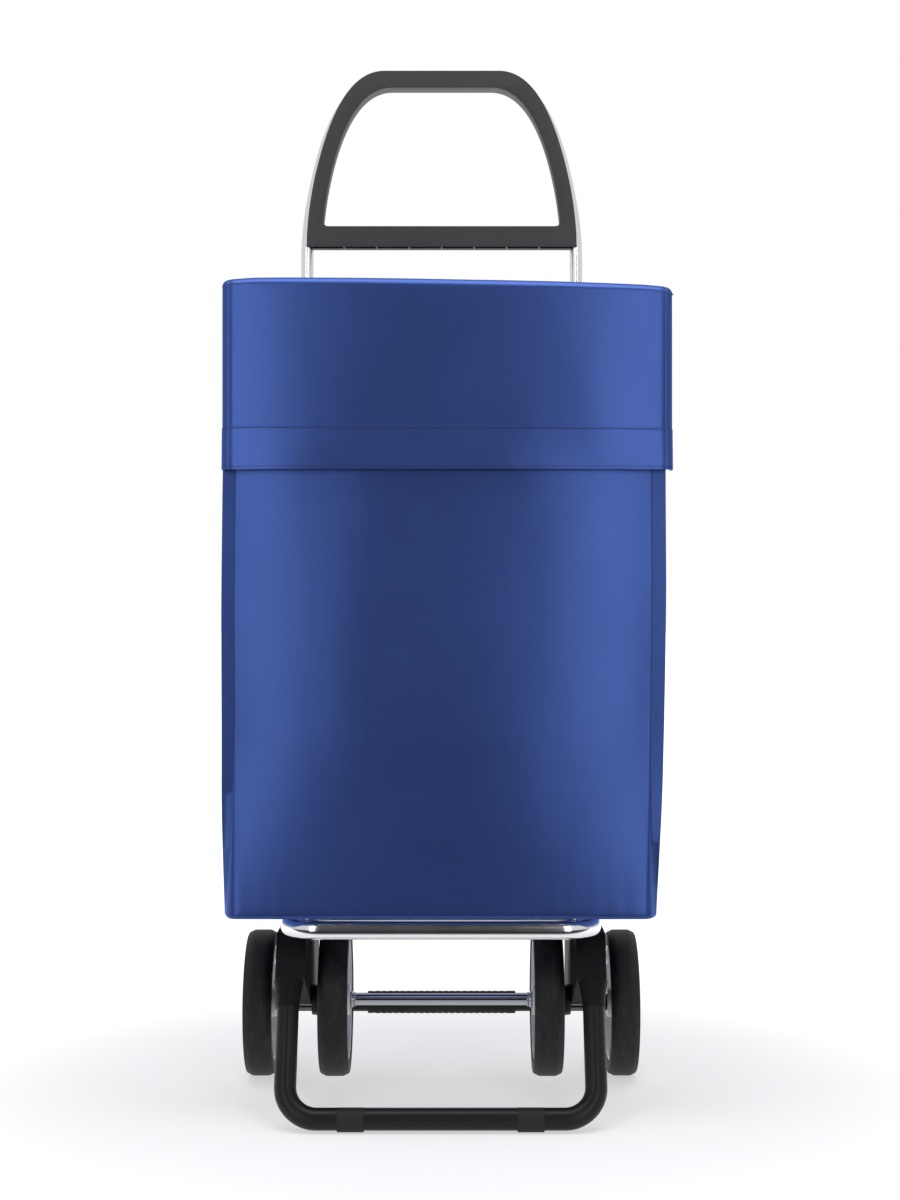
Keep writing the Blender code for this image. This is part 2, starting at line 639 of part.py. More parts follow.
def arch_half(inset_knee, inset_shoulder, top, flat, steps):
    """One side of the handle's arch as (X, Z) points, from its foot up to the flat top."""
    foot = Vector((FRAME_X - inset_knee, HANDLE_BOTTOM - 0.014, 0))
    shoulder = Vector((FRAME_X - inset_shoulder, SHOULDER_Z, 0))
    crown = Vector((flat, top, 0))
    rise = shoulder.y - foot.y
    turn = top - shoulder.y
    lower = interpolate_bezier(foot, foot + Vector((0, rise * 0.34, 0)),
                               shoulder + Vector((HANDLE_LEAN, -1, 0)) * rise * 0.34, shoulder, steps)
    upper = interpolate_bezier(shoulder, shoulder + Vector((-HANDLE_LEAN, 1, 0)) * turn * 0.46,
                               crown + Vector(((shoulder.x - flat) * 0.56, 0, 0)), crown, steps)
    return [(p.x, p.y) for p in lower] + [(p.x, p.y) for p in upper[1:]]


def mirrored(half):
    return half + [(-x, z) for x, z in reversed(half)]


def arch_tube():
    half = arch_half(0, HANDLE_SHOULDER_IN, ARCH_TOP, HANDLE_FLAT_HALF, 7)
    arch = mirrored(half)
    points = [(x, FRAME_Y, z) for x, z in [(FRAME_X, frame_foot())] + arch + [(-FRAME_X, frame_foot())]]
    tube("frame_tube", points, FRAME_WIDTH, FRAME_DEPTH, TUBE_WALL, "aluminium")
    return points


def handle_grip(arch_points):
    """The moulded D grip, snapped on from inside the arch, whose tube it leaves bare below."""
    cover = HANDLE_COVER
    outer_in = FRAME_WIDTH / 2 - GRIP_EXPOSE
    outer = arch_half(-outer_in, HANDLE_SHOULDER_IN - cover, HANDLE_TOP, HANDLE_FLAT_HALF, 10)
    inner = arch_half(GRIP_ARM - outer_in, HANDLE_SHOULDER_IN - cover + GRIP_ARM, HANDLE_TOP - GRIP_BAR,
                      HANDLE_FLAT_HALF - 0.008, 10)
    sill = HANDLE_BOTTOM + CROSSBAR_HEIGHT
    outer = [(x, z) for x, z in outer if z > HANDLE_BOTTOM + 0.004]
    outer.insert(0, (outer[0][0] + HANDLE_LEAN * 0.2 * (outer[0][1] - HANDLE_BOTTOM), HANDLE_BOTTOM))
    inner = [(x, z) for x, z in inner if z > sill + CROSSBAR_OPENING_ROUND]
    corner_x = inner[0][0] + HANDLE_LEAN * 0.5 * (inner[0][1] - sill)
    corner = [(corner_x - 0.03, sill, 0), (corner_x, sill, 0), (*inner[0], 0)]
    bend = bent_path(corner, CROSSBAR_OPENING_ROUND, 3)
    inner = [(p.x, p.y) for p in bend[1:-1]] + inner
    obj = flat_outline("handle_grip", [mirrored(outer), mirrored(inner)], GRIP_THICKNESS, PARTS)
    obj.matrix_world = Matrix(((1, 0, 0, 0), (0, 0, -1, FRAME_Y), (0, 1, 0, 0), (0, 0, 0, 1)))
    grip = show_as(curve_to_mesh(obj, PARTS), "black_plastic")
    edge = grip.modifiers.new("edge", "BEVEL")
    edge.width = 0.003
    edge.segments = 2
    edge.limit_method = "ANGLE"
    edge.angle_limit = 1.1
    channel = tube_cutter("grip_channel", arch_points, FRAME_WIDTH + 2 * GAP, FRAME_DEPTH + 2 * GAP)
    boolean(grip, channel)
    back = FRAME_Y + GRIP_THICKNESS / 2
    for side, sign in SIDES:
        place = Vector((sign * (FRAME_X - GRIP_ARM - 0.004), back, HANDLE_BOTTOM + CROSSBAR_HEIGHT / 2))
        bore_end = place - Vector((0, SCREW_LENGTH + 4 * GAP, 0))
        boolean(grip, cutter_rod(f"grip_screw_bore_{side}", place + Vector((0, 0.01, 0)), bore_end,
                                 SCREW_SHANK_RADIUS + GAP, 12))
        button_screw("grip_screw_" + side, place, (0, 1, 0))


def rails():
    """The flat rail that the bag's loops hang on, and the round brace low down."""
    end = FRAME_X - FRAME_WIDTH / 2 - GAP
    half_z, half_y = BAG_RAIL_HEIGHT / 2, BAG_RAIL_DEPTH / 2
    rail_low, rail_high = (FRAME_Y - half_y, BAG_RAIL_Z - half_z), (FRAME_Y + half_y, BAG_RAIL_Z + half_z)
    box("bag_rail", (-end, *rail_low), (end, *rail_high), "aluminium", 0.001)
    brace_left, brace_right = (-end, FRAME_Y, LOWER_BRACE_Z), (end, FRAME_Y, LOWER_BRACE_Z)
    rod("lower_brace", brace_left, brace_right, LOWER_BRACE_RADIUS, "aluminium")
    for side, sign in SIDES:
        low_x, high_x = sign * LOOP_X - LOOP_WIDTH / 2, sign * LOOP_X + LOOP_WIDTH / 2
        y0, z0 = (value - GAP for value in rail_low)
        y1, z1 = (value + GAP for value in rail_high)
        front = BAG_BACK + GAP
        loop = box("hanger_loop_" + side, (low_x, front, z0 - WEBBING), (high_x, y1 + WEBBING, z1 + WEBBING),
                   "black_webbing")
        low, high = (low_x - 0.01, front + WEBBING, z0), (high_x + 0.01, y1, z1)
        boolean(loop, cutter_box(f"loop_space_{side}", low, high))


# ---------------------------------------------------------------- foot bar

def foot_bar():
    top = [(sign * FOOT_X, LEG_TOP_Y, LEG_TOP_Z) for sign in (-1, 1)]
    low = [(sign * FOOT_X, FOOT_Y, FOOT_Z) for sign in (-1, 1)]
    points = bent_path([top[0], low[0], low[1], top[1]], FOOT_BEND, 6)
    foot = tube("foot_tube", points, 2 * FOOT_RADIUS, 2 * FOOT_RADIUS, TUBE_WALL, "black_paint")
    leg = leg_direction()
    for side, sign in SIDES:
        screw_at = Vector((sign * BRACKET_OUTER_X, *(Vector((0, LEG_TOP_Y, LEG_TOP_Z)) - leg * 0.022).yz))
        bore_end = screw_at - Vector((sign * (SCREW_LENGTH + 4 * GAP), 0, 0))
        bore = cutter_rod(f"leg_screw_bore_{side}", screw_at + Vector((sign * 0.01, 0, 0)), bore_end,
                          SCREW_SHANK_RADIUS + GAP, 12)
        boolean(foot, bore)
        boolean(bpy.data.objects["side_bracket_" + side], bore)
        button_screw("leg_screw_" + side, screw_at, (sign, 0, 0))
        pad(side, sign)


def pad(side, sign):
    """A rubber shoe under the bar, hollowed to the tube and flat on the floor."""
    cradle = arc((FOOT_Y, FOOT_Z), FOOT_RADIUS + GAP, 0.88, 0.62, 6)
    half = FOOT_PAD_DEPTH / 2
    x = sign * FOOT_PAD_X
    side_plate("foot_pad_" + side, [(FOOT_Y - half, 0), (FOOT_Y + half, 0)] + cradle,
               x - FOOT_PAD_LENGTH / 2, x + FOOT_PAD_LENGTH / 2, "black_rubber")


# ---------------------------------------------------------------- platform

def platform():
    empty = axis_empty("axis_platform", PLATFORM_HINGE)
    tail = PLATFORM_HINGE_Y + PLATFORM_TAIL
    corners = [(-PLATFORM_X, tail, PLATFORM_Z), (-PLATFORM_X, PLATFORM_FRONT_Y, PLATFORM_Z),
               (PLATFORM_X, PLATFORM_FRONT_Y, PLATFORM_Z), (PLATFORM_X, tail, PLATFORM_Z)]
    loop = tube("platform_loop", bent_path(corners, PLATFORM_BEND, 6), PLATFORM_WIDTH, PLATFORM_HEIGHT,
                TUBE_WALL, "aluminium")
    hang(loop, empty)
    inner = PLATFORM_X - PLATFORM_WIDTH / 2 - GAP
    slat_z = PLATFORM_Z
    slat = box("platform_slat", (-inner, SLAT_Y - SLAT_LENGTH_Y / 2, slat_z - SLAT_THICKNESS / 2),
               (inner, SLAT_Y + SLAT_LENGTH_Y / 2, slat_z + SLAT_THICKNESS / 2), "aluminium", 0.001)
    hang(slat, empty)
    board_low = BAG_BOTTOM + BAG_WALL + GAP
    inset = BAG_WALL + BOARD_EDGE_GAP
    board = box("base_board", (-BAG_HALF_BOTTOM + inset, BAG_FRONT + inset, board_low),
                (BAG_HALF_BOTTOM - inset, PLATFORM_HINGE_Y - EAR_RADIUS - inset, board_low + BOARD_THICKNESS),
                "board", 0.001)
    hang(board, empty)
    for side, sign in SIDES:
        far = Vector((PLATFORM_WIDTH, 0, 0))
        middle = Vector((sign * PLATFORM_X, *PLATFORM_HINGE.yz))
        boolean(loop, cutter_rod(f"loop_bore_{side}", middle - far, middle + far, PIN_RADIUS + GAP, 16))
        outer = PLATFORM_X + PLATFORM_WIDTH / 2
        length = outer - BRACKET_INNER_X - GAP
        button_screw("platform_pin_" + side, (sign * outer, *PLATFORM_HINGE.yz), (sign, 0, 0), "zinc",
                     (PIN_HEAD_RADIUS, PIN_HEAD_HEIGHT, PIN_RADIUS, length))
        tab_z = PLATFORM_Z + PLATFORM_HEIGHT / 2 + GAP
        tab_low = Vector((sign * TAB_X - TAB_WIDTH / 2, PLATFORM_FRONT_Y - PLATFORM_WIDTH / 2, tab_z))
        tab_y = PLATFORM_FRONT_Y + PLATFORM_WIDTH / 2
        tab_high = Vector((sign * TAB_X + TAB_WIDTH / 2, tab_y, BAG_BOTTOM - GAP))
        hang(box("bag_tab_" + side, tab_low, tab_high, "blue_fabric"), empty)
        stud_at = Vector((sign * TAB_X, tab_low.y, (tab_z + BAG_BOTTOM) / 2))
        hang(rod("snap_stud_" + side, stud_at - Vector((0, GAP, 0)), stud_at - Vector((0, GAP + 0.001, 0)),
                 STUD_RADIUS, "chrome", 12), empty)


# ---------------------------------------------------------------- bag and flap

def bag():
    bm = bmesh.new()
    bmesh.ops.create_cube(bm, size=1)
    bmesh.ops.scale(bm, vec=(2, BAG_DEPTH, BAG_TOP - BAG_BOTTOM), verts=bm.verts)
    bmesh.ops.translate(bm, vec=(0, (BAG_FRONT + BAG_BACK) / 2, (BAG_TOP + BAG_BOTTOM) / 2), verts=bm.verts)
    for vert in bm.verts:
        vert.co.x *= BAG_HALF_TOP if vert.co.z > (BAG_TOP + BAG_BOTTOM) / 2 else BAG_HALF_BOTTOM
    upright = [e for e in bm.edges if abs(e.verts[0].co.z - e.verts[1].co.z) > 0.1]
    bmesh.ops.bevel(bm, geom=upright, offset=BAG_CORNER, segments=3, affect="EDGES", profile=0.5)
    bm.faces.ensure_lookup_table()
    lid = max(bm.faces, key=lambda f: f.calc_center_median().z)
    bmesh.ops.delete(bm, geom=[lid], context="FACES_ONLY")
    body = mesh_piece("bag_body", bm, "blue_fabric")
    wall = body.modifiers.new("wall", "SOLIDIFY")
    wall.thickness = BAG_WALL
    wall.offset = -1
    wall.use_even_offset = True
    tape_top = BAG_TOP - FLAP_DROP + 2 * TAPE_HEIGHT
    box("bag_tape", (-TAPE_HALF_LENGTH, BAG_FRONT - GAP - TAPE_THICKNESS, tape_top - TAPE_HEIGHT),
        (TAPE_HALF_LENGTH, BAG_FRONT - GAP, tape_top), "black_webbing")
    return tape_top


def flap(tape_top):
    empty = axis_empty("axis_flap", FLAP_HINGE)
    half = BAG_HALF_TOP + FLAP_SIDE
    under = BAG_TOP + GAP
    top = under + FLAP_THICKNESS
    back = BAG_BACK - GAP
    inner_front = BAG_FRONT - FLAP_FRONT_GAP
    front = inner_front - FLAP_THICKNESS
    hem = top - FLAP_DROP
    round_in, round_out = FLAP_ROUND, FLAP_ROUND + FLAP_THICKNESS
    outline = [(back, under)]
    outline += [(back, top)]
    outline += arc((front + round_out, top - round_out), round_out, 0.25, 0.5, 4)
    outline += [(front, hem), (inner_front, hem)]
    outline += arc((inner_front + round_in, under - round_in), round_in, 0.5, 0.25, 4)
    panel = side_plate("flap_panel", outline, -half, half, "blue_fabric")
    hang(panel, empty)
    tape = box("flap_tape", (-TAPE_HALF_LENGTH, inner_front + GAP, tape_top - TAPE_HEIGHT),
               (TAPE_HALF_LENGTH, inner_front + GAP + TAPE_THICKNESS, tape_top), "black_webbing")
    hang(tape, empty)
    inset = BAG_WALL + BAG_CORNER
    stiffener = box("flap_stiffener",
                    (-BAG_HALF_TOP + inset, BAG_FRONT + inset, under - GAP - STIFFENER_THICKNESS),
                    (BAG_HALF_TOP - inset, BAG_BACK - inset, under - GAP), "board")
    hang(stiffener, empty)


main_axle()
carriage()
for each_side, each_sign in SIDES:
    side_bracket(each_side, each_sign)
arch = arch_tube()
handle_grip(arch)
rails()
foot_bar()
platform()
flap(bag())
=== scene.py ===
import bmesh
import bpy
import json
from math import cos, pi, radians, sin, tan
from mathutils import Matrix, Vector, noise
from mathutils.geometry import interpolate_bezier


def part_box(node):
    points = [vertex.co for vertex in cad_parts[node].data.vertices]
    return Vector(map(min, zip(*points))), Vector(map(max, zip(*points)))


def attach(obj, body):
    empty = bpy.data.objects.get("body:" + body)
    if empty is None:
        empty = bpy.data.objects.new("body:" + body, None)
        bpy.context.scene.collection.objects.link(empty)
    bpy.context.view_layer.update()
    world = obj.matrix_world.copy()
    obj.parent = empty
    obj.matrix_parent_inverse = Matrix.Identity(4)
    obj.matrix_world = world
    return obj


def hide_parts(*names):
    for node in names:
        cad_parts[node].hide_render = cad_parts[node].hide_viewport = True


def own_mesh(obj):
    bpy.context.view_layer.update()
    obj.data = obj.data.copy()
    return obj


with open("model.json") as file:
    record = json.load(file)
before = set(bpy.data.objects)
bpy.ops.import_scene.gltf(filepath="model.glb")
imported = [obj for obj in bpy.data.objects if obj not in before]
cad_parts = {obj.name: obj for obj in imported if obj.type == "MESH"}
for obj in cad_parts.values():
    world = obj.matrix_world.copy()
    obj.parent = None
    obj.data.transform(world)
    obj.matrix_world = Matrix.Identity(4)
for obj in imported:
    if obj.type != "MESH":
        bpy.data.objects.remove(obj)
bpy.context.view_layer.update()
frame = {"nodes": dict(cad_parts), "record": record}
nodes = frame["nodes"]
bodyOf = {node: body for body, names in frame["record"]["behaviour"]["bodies"].items() for node in names}
sides = (("l", -1), ("r", 1))
wheelNames = ("wheel_main_l", "wheel_main_r", "wheel_aux_l", "wheel_aux_r")
print("frame loaded", len(nodes), "nodes")


# --- small tools for node trees

class Wire:
    # one socket, so that node maths reads as an expression
    def __init__(self, net, socket):
        self.net = net
        self.socket = socket

    def out(self, name):
        return Wire(self.net, self.socket.node.outputs[name])

    def calc(self, operation, other=0.0, swapped=False):
        first, second = (other, self) if swapped else (self, other)
        return self.net.add("ShaderNodeMath", {"operation": operation}, {0: first, 1: second})

    def __add__(self, other):
        return self.calc("ADD", other)

    def __radd__(self, other):
        return self.calc("ADD", other, True)

    def __sub__(self, other):
        return self.calc("SUBTRACT", other)

    def __rsub__(self, other):
        return self.calc("SUBTRACT", other, True)

    def __mul__(self, other):
        return self.calc("MULTIPLY", other)

    def __truediv__(self, other):
        return self.calc("DIVIDE", other)


class Net:
    def __init__(self, tree):
        self.tree = tree

    def add(self, kind, settings=None, sockets=None, out=0):
        node = self.tree.nodes.new(kind)
        for name, value in (settings or {}).items():
            if name == "stops":
                self.setStops(node.color_ramp, value)
            else:
                setattr(node, name, value)
        for key, value in (sockets or {}).items():
            self.plug(value, node.inputs[key])
        return Wire(self, node.outputs[out])

    def plug(self, value, socket):
        if isinstance(value, Wire):
            self.tree.links.new(value.socket, socket)
        else:
            socket.default_value = value

    def setStops(self, ramp, stops):
        while len(ramp.elements) < len(stops):
            ramp.elements.new(0.5)
        for element, (place, level) in zip(ramp.elements, stops):
            element.position = place
            element.color = (level, level, level, 1)

    def mixColour(self, mask, first, second):
        sockets = {0: mask, 6: first, 7: second}
        return self.add("ShaderNodeMix", {"data_type": "RGBA"}, sockets, 2)

    def grain(self, vector, scale, detail=2.0, roughness=0.5):
        return self.add("ShaderNodeTexNoise", {}, {
            "Vector": vector, "Scale": scale, "Detail": detail, "Roughness": roughness}, "Fac")

    def stretched(self, vector, scale):
        return self.add("ShaderNodeMapping", {}, {"Vector": vector, "Scale": scale})

    def step(self, value, low, high):
        return self.add("ShaderNodeMapRange", {"interpolation_type": "SMOOTHSTEP"}, {
            "Value": value, "From Min": low, "From Max": high})


class Finish:
    # a Principled material whose varying sockets are fed by a net
    def __init__(self, name, **fixed):
        self.material = bpy.data.materials.new(name)
        self.material.use_nodes = True
        self.net = Net(self.material.node_tree)
        self.shader = self.material.node_tree.nodes["Principled BSDF"]
        for socket, value in fixed.items():
            self.shader.inputs[socket.replace("_", " ")].default_value = value
        self.coords = self.net.add("ShaderNodeTexCoord", {}, {}, "Object")

    def feed(self, **wires):
        for socket, wire in wires.items():
            self.net.plug(wire, self.shader.inputs[socket.replace("_", " ")])

    def bump(self, height, distance, strength=1.0):
        normal = self.net.add("ShaderNodeBump", {}, {
            "Height": height, "Distance": distance, "Strength": strength}, "Normal")
        self.net.plug(normal, self.shader.inputs["Normal"])


def shade(colour, factor):
    return tuple(min(1.0, channel * factor) for channel in colour[:3]) + (1.0,)


# --- finishes

fabricLook = {
    "base": (0.050, 0.092, 0.320, 1), "threadPitch": 0.00062, "threadHeight": 0.000014,
    "slub": 0.20, "fade": 0.12, "seamShade": 0.16, "lint": 0.02, "roughness": 0.30,
    "sheen": 0.08, "lustre": 0.60, "satin": 0.8, "satinTint": (0.24, 0.42, 1.0, 1),
}


def fabricFinish(name, base, look):
    finish = Finish(name, Sheen_Weight=look["sheen"], Sheen_Roughness=0.42, Sheen_Tint=look["satinTint"],
                    Metallic=look["lustre"], Specular_IOR_Level=look["satin"], Specular_Tint=look["satinTint"])
    net = finish.net
    weave = net.add("ShaderNodeSeparateXYZ", {}, {"Vector": finish.coords.out("UV")})
    turns = 2 * pi / look["threadPitch"]
    warp = (weave.out("X") * turns).calc("SINE")
    weft = (weave.out("Y") * turns).calc("SINE")
    crossing = warp * weft
    slub = net.grain(net.stretched(finish.coords.out("UV"), (26, 420, 1)), 1.0, 3)
    slubUp = net.grain(net.stretched(finish.coords.out("UV"), (420, 26, 1)), 1.0, 3)
    fade = net.grain(finish.coords, 7.0, 4)
    seam = net.add("ShaderNodeAttribute", {"attribute_name": "seam"}, {}, "Fac")
    lint = net.step(net.grain(finish.coords, 260.0, 2), 0.62, 0.80)
    tone = (slub + slubUp - 1.0) * look["slub"] + (fade - 0.5) * look["fade"] + crossing * 0.05 + 0.5
    colour = net.mixColour(tone, shade(base, 0.72), shade(base, 1.30))
    # painted shade: the seam value darkens the cloth toward a deep blue along seams, hems, cut edges, the bag's
    # corners and its lowest edge
    seamShaded = net.mixColour(seam * look["seamShade"], colour, shade(base, 0.45))
    dusty = net.mixColour(lint * look["lint"], seamShaded, (0.55, 0.56, 0.60, 1))
    finish.feed(Base_Color=dusty, Roughness=look["roughness"] + fade * 0.10 + crossing * 0.03)
    finish.bump(crossing * 0.5 + slub * 0.35 + slubUp * 0.35, look["threadHeight"], 0.55)
    return finish.material


def webbingFinish(name, base):
    finish = Finish(name, Sheen_Weight=0.2, Sheen_Roughness=0.5, Specular_IOR_Level=0.3)
    net = finish.net
    place = net.add("ShaderNodeSeparateXYZ", {}, {"Vector": finish.coords})
    rib = (place.out("X") * 2600.0 + place.out("Z") * 2600.0).calc("SINE")
    cross = (place.out("X") * 2600.0 - place.out("Z") * 2600.0).calc("SINE")
    fuzz = net.grain(finish.coords, 900.0, 3)
    colour = net.mixColour(rib * cross * 0.25 + 0.25 + fuzz * 0.4, shade(base, 0.6), shade(base, 1.9))
    finish.feed(Base_Color=colour, Roughness=0.72 + fuzz * 0.2)
    finish.bump(rib * cross + fuzz, 0.00025, 0.7)
    return finish.material


def threadFinish(name, base):
    finish = Finish(name, Sheen_Weight=0.15, Specular_IOR_Level=0.35)
    net = finish.net
    twist = net.grain(net.stretched(finish.coords, (2400, 2400, 5200)), 1.0, 2)
    finish.feed(Base_Color=net.mixColour(twist, shade(base, 0.6), shade(base, 1.5)),
                Roughness=0.5 + twist * 0.2)
    finish.bump(twist, 0.00006, 0.6)
    return finish.material


def metalFinish(name, base, roughness, drawn, drawnDepth=0.00001, tarnish=0.12):
    # drawn: how the fine lines of drawing or turning stretch along X, Y and Z
    finish = Finish(name, Metallic=1.0)
    net = finish.net
    lines = net.grain(net.stretched(finish.coords, drawn), 1.0, 4, 0.65)
    cloud = net.grain(finish.coords, 22.0, 5, 0.6)
    specks = net.step(net.grain(finish.coords, 420.0, 2), 0.70, 0.82)
    mark = (cloud - 0.5) * tarnish + 0.5 - specks * 0.08
    finish.feed(Base_Color=net.mixColour(mark, shade(base, 0.80), shade(base, 1.12)),
                Roughness=roughness + lines * 0.10 + cloud * 0.08 + specks * 0.15 - 0.05)
    finish.bump(lines, drawnDepth, 0.5)
    return finish.material


def coatFinish(name, base, roughness, orangePeel, grainSize, gloss=0.5):
    # powder coat or moulded plastic: even colour, fine skin, a little rubbed dust
    finish = Finish(name, Specular_IOR_Level=gloss)
    net = finish.net
    skin = net.grain(finish.coords, grainSize, 3, 0.6)
    cloud = net.grain(finish.coords, 14.0, 4, 0.6)
    dust = net.step(net.grain(finish.coords, 60.0, 6, 0.7), 0.56, 0.80)
    colour = net.mixColour(cloud, shade(base, 0.80), shade(base, 1.22))
    finish.feed(Base_Color=net.mixColour(dust * 0.06, colour, (0.16, 0.155, 0.15, 1)),
                Roughness=roughness + skin * 0.10 + dust * 0.12 - 0.05)
    finish.bump(skin, orangePeel, 0.45)
    return finish.material


def tyreFinish(name, base):
    finish = Finish(name, Specular_IOR_Level=0.32)
    net = finish.net
    tread = net.add("ShaderNodeAttribute", {"attribute_name": "tread"}, {}, "Fac")
    skin = net.grain(finish.coords, 1500.0, 3, 0.6)
    scuff = net.grain(net.stretched(finish.coords, (190, 60, 60)), 1.0, 6, 0.7)
    dust = net.step(scuff, 0.44, 0.78) * (tread * 0.14 + 0.04)
    colour = net.mixColour(skin, shade(base, 0.8), shade(base, 1.35))
    finish.feed(Base_Color=net.mixColour(dust, colour, (0.13, 0.125, 0.12, 1)),
                Roughness=0.52 + skin * 0.10 + dust * 0.5)
    finish.bump(skin * 0.5 + scuff * tread * 0.5, 0.00010, 0.5)
    return finish.material


def boardFinish(name, base):
    finish = Finish(name, Specular_IOR_Level=0.3)
    net = finish.net
    fibre = net.grain(net.stretched(finish.coords, (60, 340, 340)), 1.0, 5, 0.7)
    fleck = net.grain(finish.coords, 900.0, 2)
    finish.feed(Base_Color=net.mixColour(fibre * 0.6 + fleck * 0.4, shade(base, 0.6), shade(base, 1.6)),
                Roughness=0.70 + fleck * 0.2)
    finish.bump(fibre + fleck, 0.00015, 0.6)
    return finish.material


finishes = {
    "aluminium": metalFinish("brightAluminium", (0.90, 0.905, 0.91), 0.15, (300, 300, 9), 0.000004),
    "aluminiumLoop": metalFinish("brightAluminiumLoop", (0.87, 0.88, 0.89), 0.13, (9, 60, 420), 0.000003),
    "chrome": metalFinish("brightChrome", (0.50, 0.52, 0.56), 0.08, (8, 700, 700), 0.000002, 0.06),
    "zinc": metalFinish("zincPlate", (0.60, 0.61, 0.62), 0.30, (300, 900, 900), 0.00002, 0.3),
    "blackCoat": coatFinish("blackPowderCoat", (0.006, 0.006, 0.006), 0.38, 0.00002, 1300, 0.24),
    "bracket": coatFinish("blackMoulding", (0.005, 0.005, 0.006), 0.56, 0.00002, 1700, 0.15),
    "grip": coatFinish("charcoalGrip", (0.058, 0.057, 0.055), 0.50, 0.00007, 1500, 0.40),
    "rubber": coatFinish("softRubber", (0.012, 0.012, 0.012), 0.62, 0.00008, 1100, 0.30),
    "tyre": tyreFinish("tyreRubber", (0.007, 0.007, 0.0075)),
    "rim": coatFinish("lightGreyRim", (0.68, 0.69, 0.71), 0.34, 0.00003, 1200),
    "nylon": coatFinish("naturalNylon", (0.72, 0.71, 0.67), 0.48, 0.00003, 1200),
    "fabric": fabricFinish("royalBlueFabric", fabricLook["base"], fabricLook),
    "lining": fabricFinish("greyLining", (0.20, 0.21, 0.23, 1), {
        **fabricLook, "sheen": 0.05, "lustre": 0.0, "satin": 0.4, "satinTint": (1, 1, 1, 1), "roughness": 0.5}),
    "thread": threadFinish("navyThread", (0.008, 0.012, 0.045)),
    "webbing": webbingFinish("blackWebbing", (0.020, 0.020, 0.022)),
    "board": boardFinish("brownBoard", (0.20, 0.13, 0.075)),
}
print("finishes made", len(finishes))


# --- making and placing pieces

def newObject(name, data, material=None):
    obj = bpy.data.objects.new(name, data)
    bpy.context.scene.collection.objects.link(obj)
    if material:
        data.materials.clear()
        data.materials.append(material)
    return obj


def meshFrom(bm, name):
    mesh = bpy.data.meshes.new(name)
    bm.to_mesh(mesh)
    bm.free()
    return mesh


def smooth(mesh, angle=0.55):
    mesh.shade_smooth()
    mesh.set_sharp_from_angle(angle=angle)


def bake(obj):
    # the evaluated shape becomes the object's own plain mesh
    bpy.context.view_layer.update()
    shape = obj.evaluated_get(bpy.context.evaluated_depsgraph_get())
    mesh = bpy.data.meshes.new_from_object(shape)
    name = obj.name
    materials = [slot.material for slot in obj.material_slots]
    bpy.data.objects.remove(obj)
    made = newObject(name, mesh)
    mesh.name = name
    if not mesh.materials:
        for material in materials:
            mesh.materials.append(material)
    return made


def settle(obj, standsFor, body=None):
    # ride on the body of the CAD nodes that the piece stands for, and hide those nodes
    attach(obj, body or bodyOf[standsFor[0]])
    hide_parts(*standsFor)
    return obj


def bevelled(obj, name, width, segments, angle):
    edge = obj.modifiers.new(name, "BEVEL")
    edge.width = width
    edge.segments = segments
    edge.limit_method = "ANGLE"
    edge.angle_limit = radians(angle)


def cutBy(obj, name, tool):
    cut = obj.modifiers.new(name, "BOOLEAN")
    cut.operation = "DIFFERENCE"
    cut.solver = "EXACT"
    cut.object = tool


def thickened(obj, name, thickness, offset):
    wall = obj.modifiers.new(name, "SOLIDIFY")
    wall.thickness = thickness
    wall.offset = offset
    return wall


def refined(node, finish, edge=0.0006, segments=3, angle=32):
    # the CAD shape with its facets merged and its edges rounded
    bm = bmesh.new()
    bm.from_mesh(nodes[node].data)
    bmesh.ops.remove_doubles(bm, verts=bm.verts, dist=0.00001)
    bmesh.ops.dissolve_limit(bm, angle_limit=radians(1.0), verts=bm.verts, edges=bm.edges)
    obj = newObject(node + "_finished", meshFrom(bm, node), finishes[finish])
    if edge:
        bevelled(obj, "edge", edge, segments, angle)
    obj = bake(obj)
    smooth(obj.data, radians(36))
    return settle(obj, [node])


def repaint(node, finish):
    nodes[node].data.materials.clear()
    nodes[node].data.materials.append(finishes[finish])


def turned(name, profile, centre, material, steps=72, closed=True, treadFrom=None):
    # (radius, along X) points turned about the X axis through the centre
    bm = bmesh.new()
    uvLayer = bm.loops.layers.uv.new("UVMap")
    treadLayer = bm.verts.layers.float.new("tread")
    centre = Vector(centre)
    rings = []
    for radius, along in profile:
        if radius < 1e-6:
            rings.append([bm.verts.new(centre + Vector((along, 0, 0)))])
            continue
        angles = [2 * pi * i / steps for i in range(steps)]
        ring = [bm.verts.new(centre + Vector((along, radius * cos(angle), radius * sin(angle))))
                for angle in angles]
        for vert in ring:
            vert[treadLayer] = 1.0 if treadFrom and radius >= treadFrom else 0.0
        rings.append(ring)
    pairs = list(zip(rings, rings[1:])) + ([(rings[-1], rings[0])] if closed else [])
    run = 0.0
    for before, after in pairs:
        width = (before[0].co - after[0].co).length
        for i in range(steps):
            k = (i + 1) % steps
            if len(before) == 1:
                face = bm.faces.new((before[0], after[k], after[i]))
            elif len(after) == 1:
                face = bm.faces.new((before[i], before[k], after[0]))
            else:
                face = bm.faces.new((before[i], before[k], after[k], after[i]))
            for loop in face.loops:
                loop[uvLayer].uv = (i / steps, run)
        run += width
    bmesh.ops.recalc_face_normals(bm, faces=bm.faces)
    obj = newObject(name, meshFrom(bm, name), material)
    smooth(obj.data, radians(38))
    return obj


def rounded(corners, radius, steps=4):
    # a profile whose corners are rounded, closed on itself
    count = len(corners)
    path = []
    for i, corner in enumerate(corners):
        here = Vector((*corner, 0))
        before, after = Vector((*corners[i - 1], 0)) - here, Vector((*corners[(i + 1) % count], 0)) - here
        cut = min(radius, before.length * 0.45, after.length * 0.45)
        start, end = here + before.normalized() * cut, here + after.normalized() * cut
        for k in range(steps + 1):
            t = k / steps
            point = start * (1 - t) ** 2 + here * 2 * t * (1 - t) + end * t ** 2
            path.append((point.x, point.y))
    return path


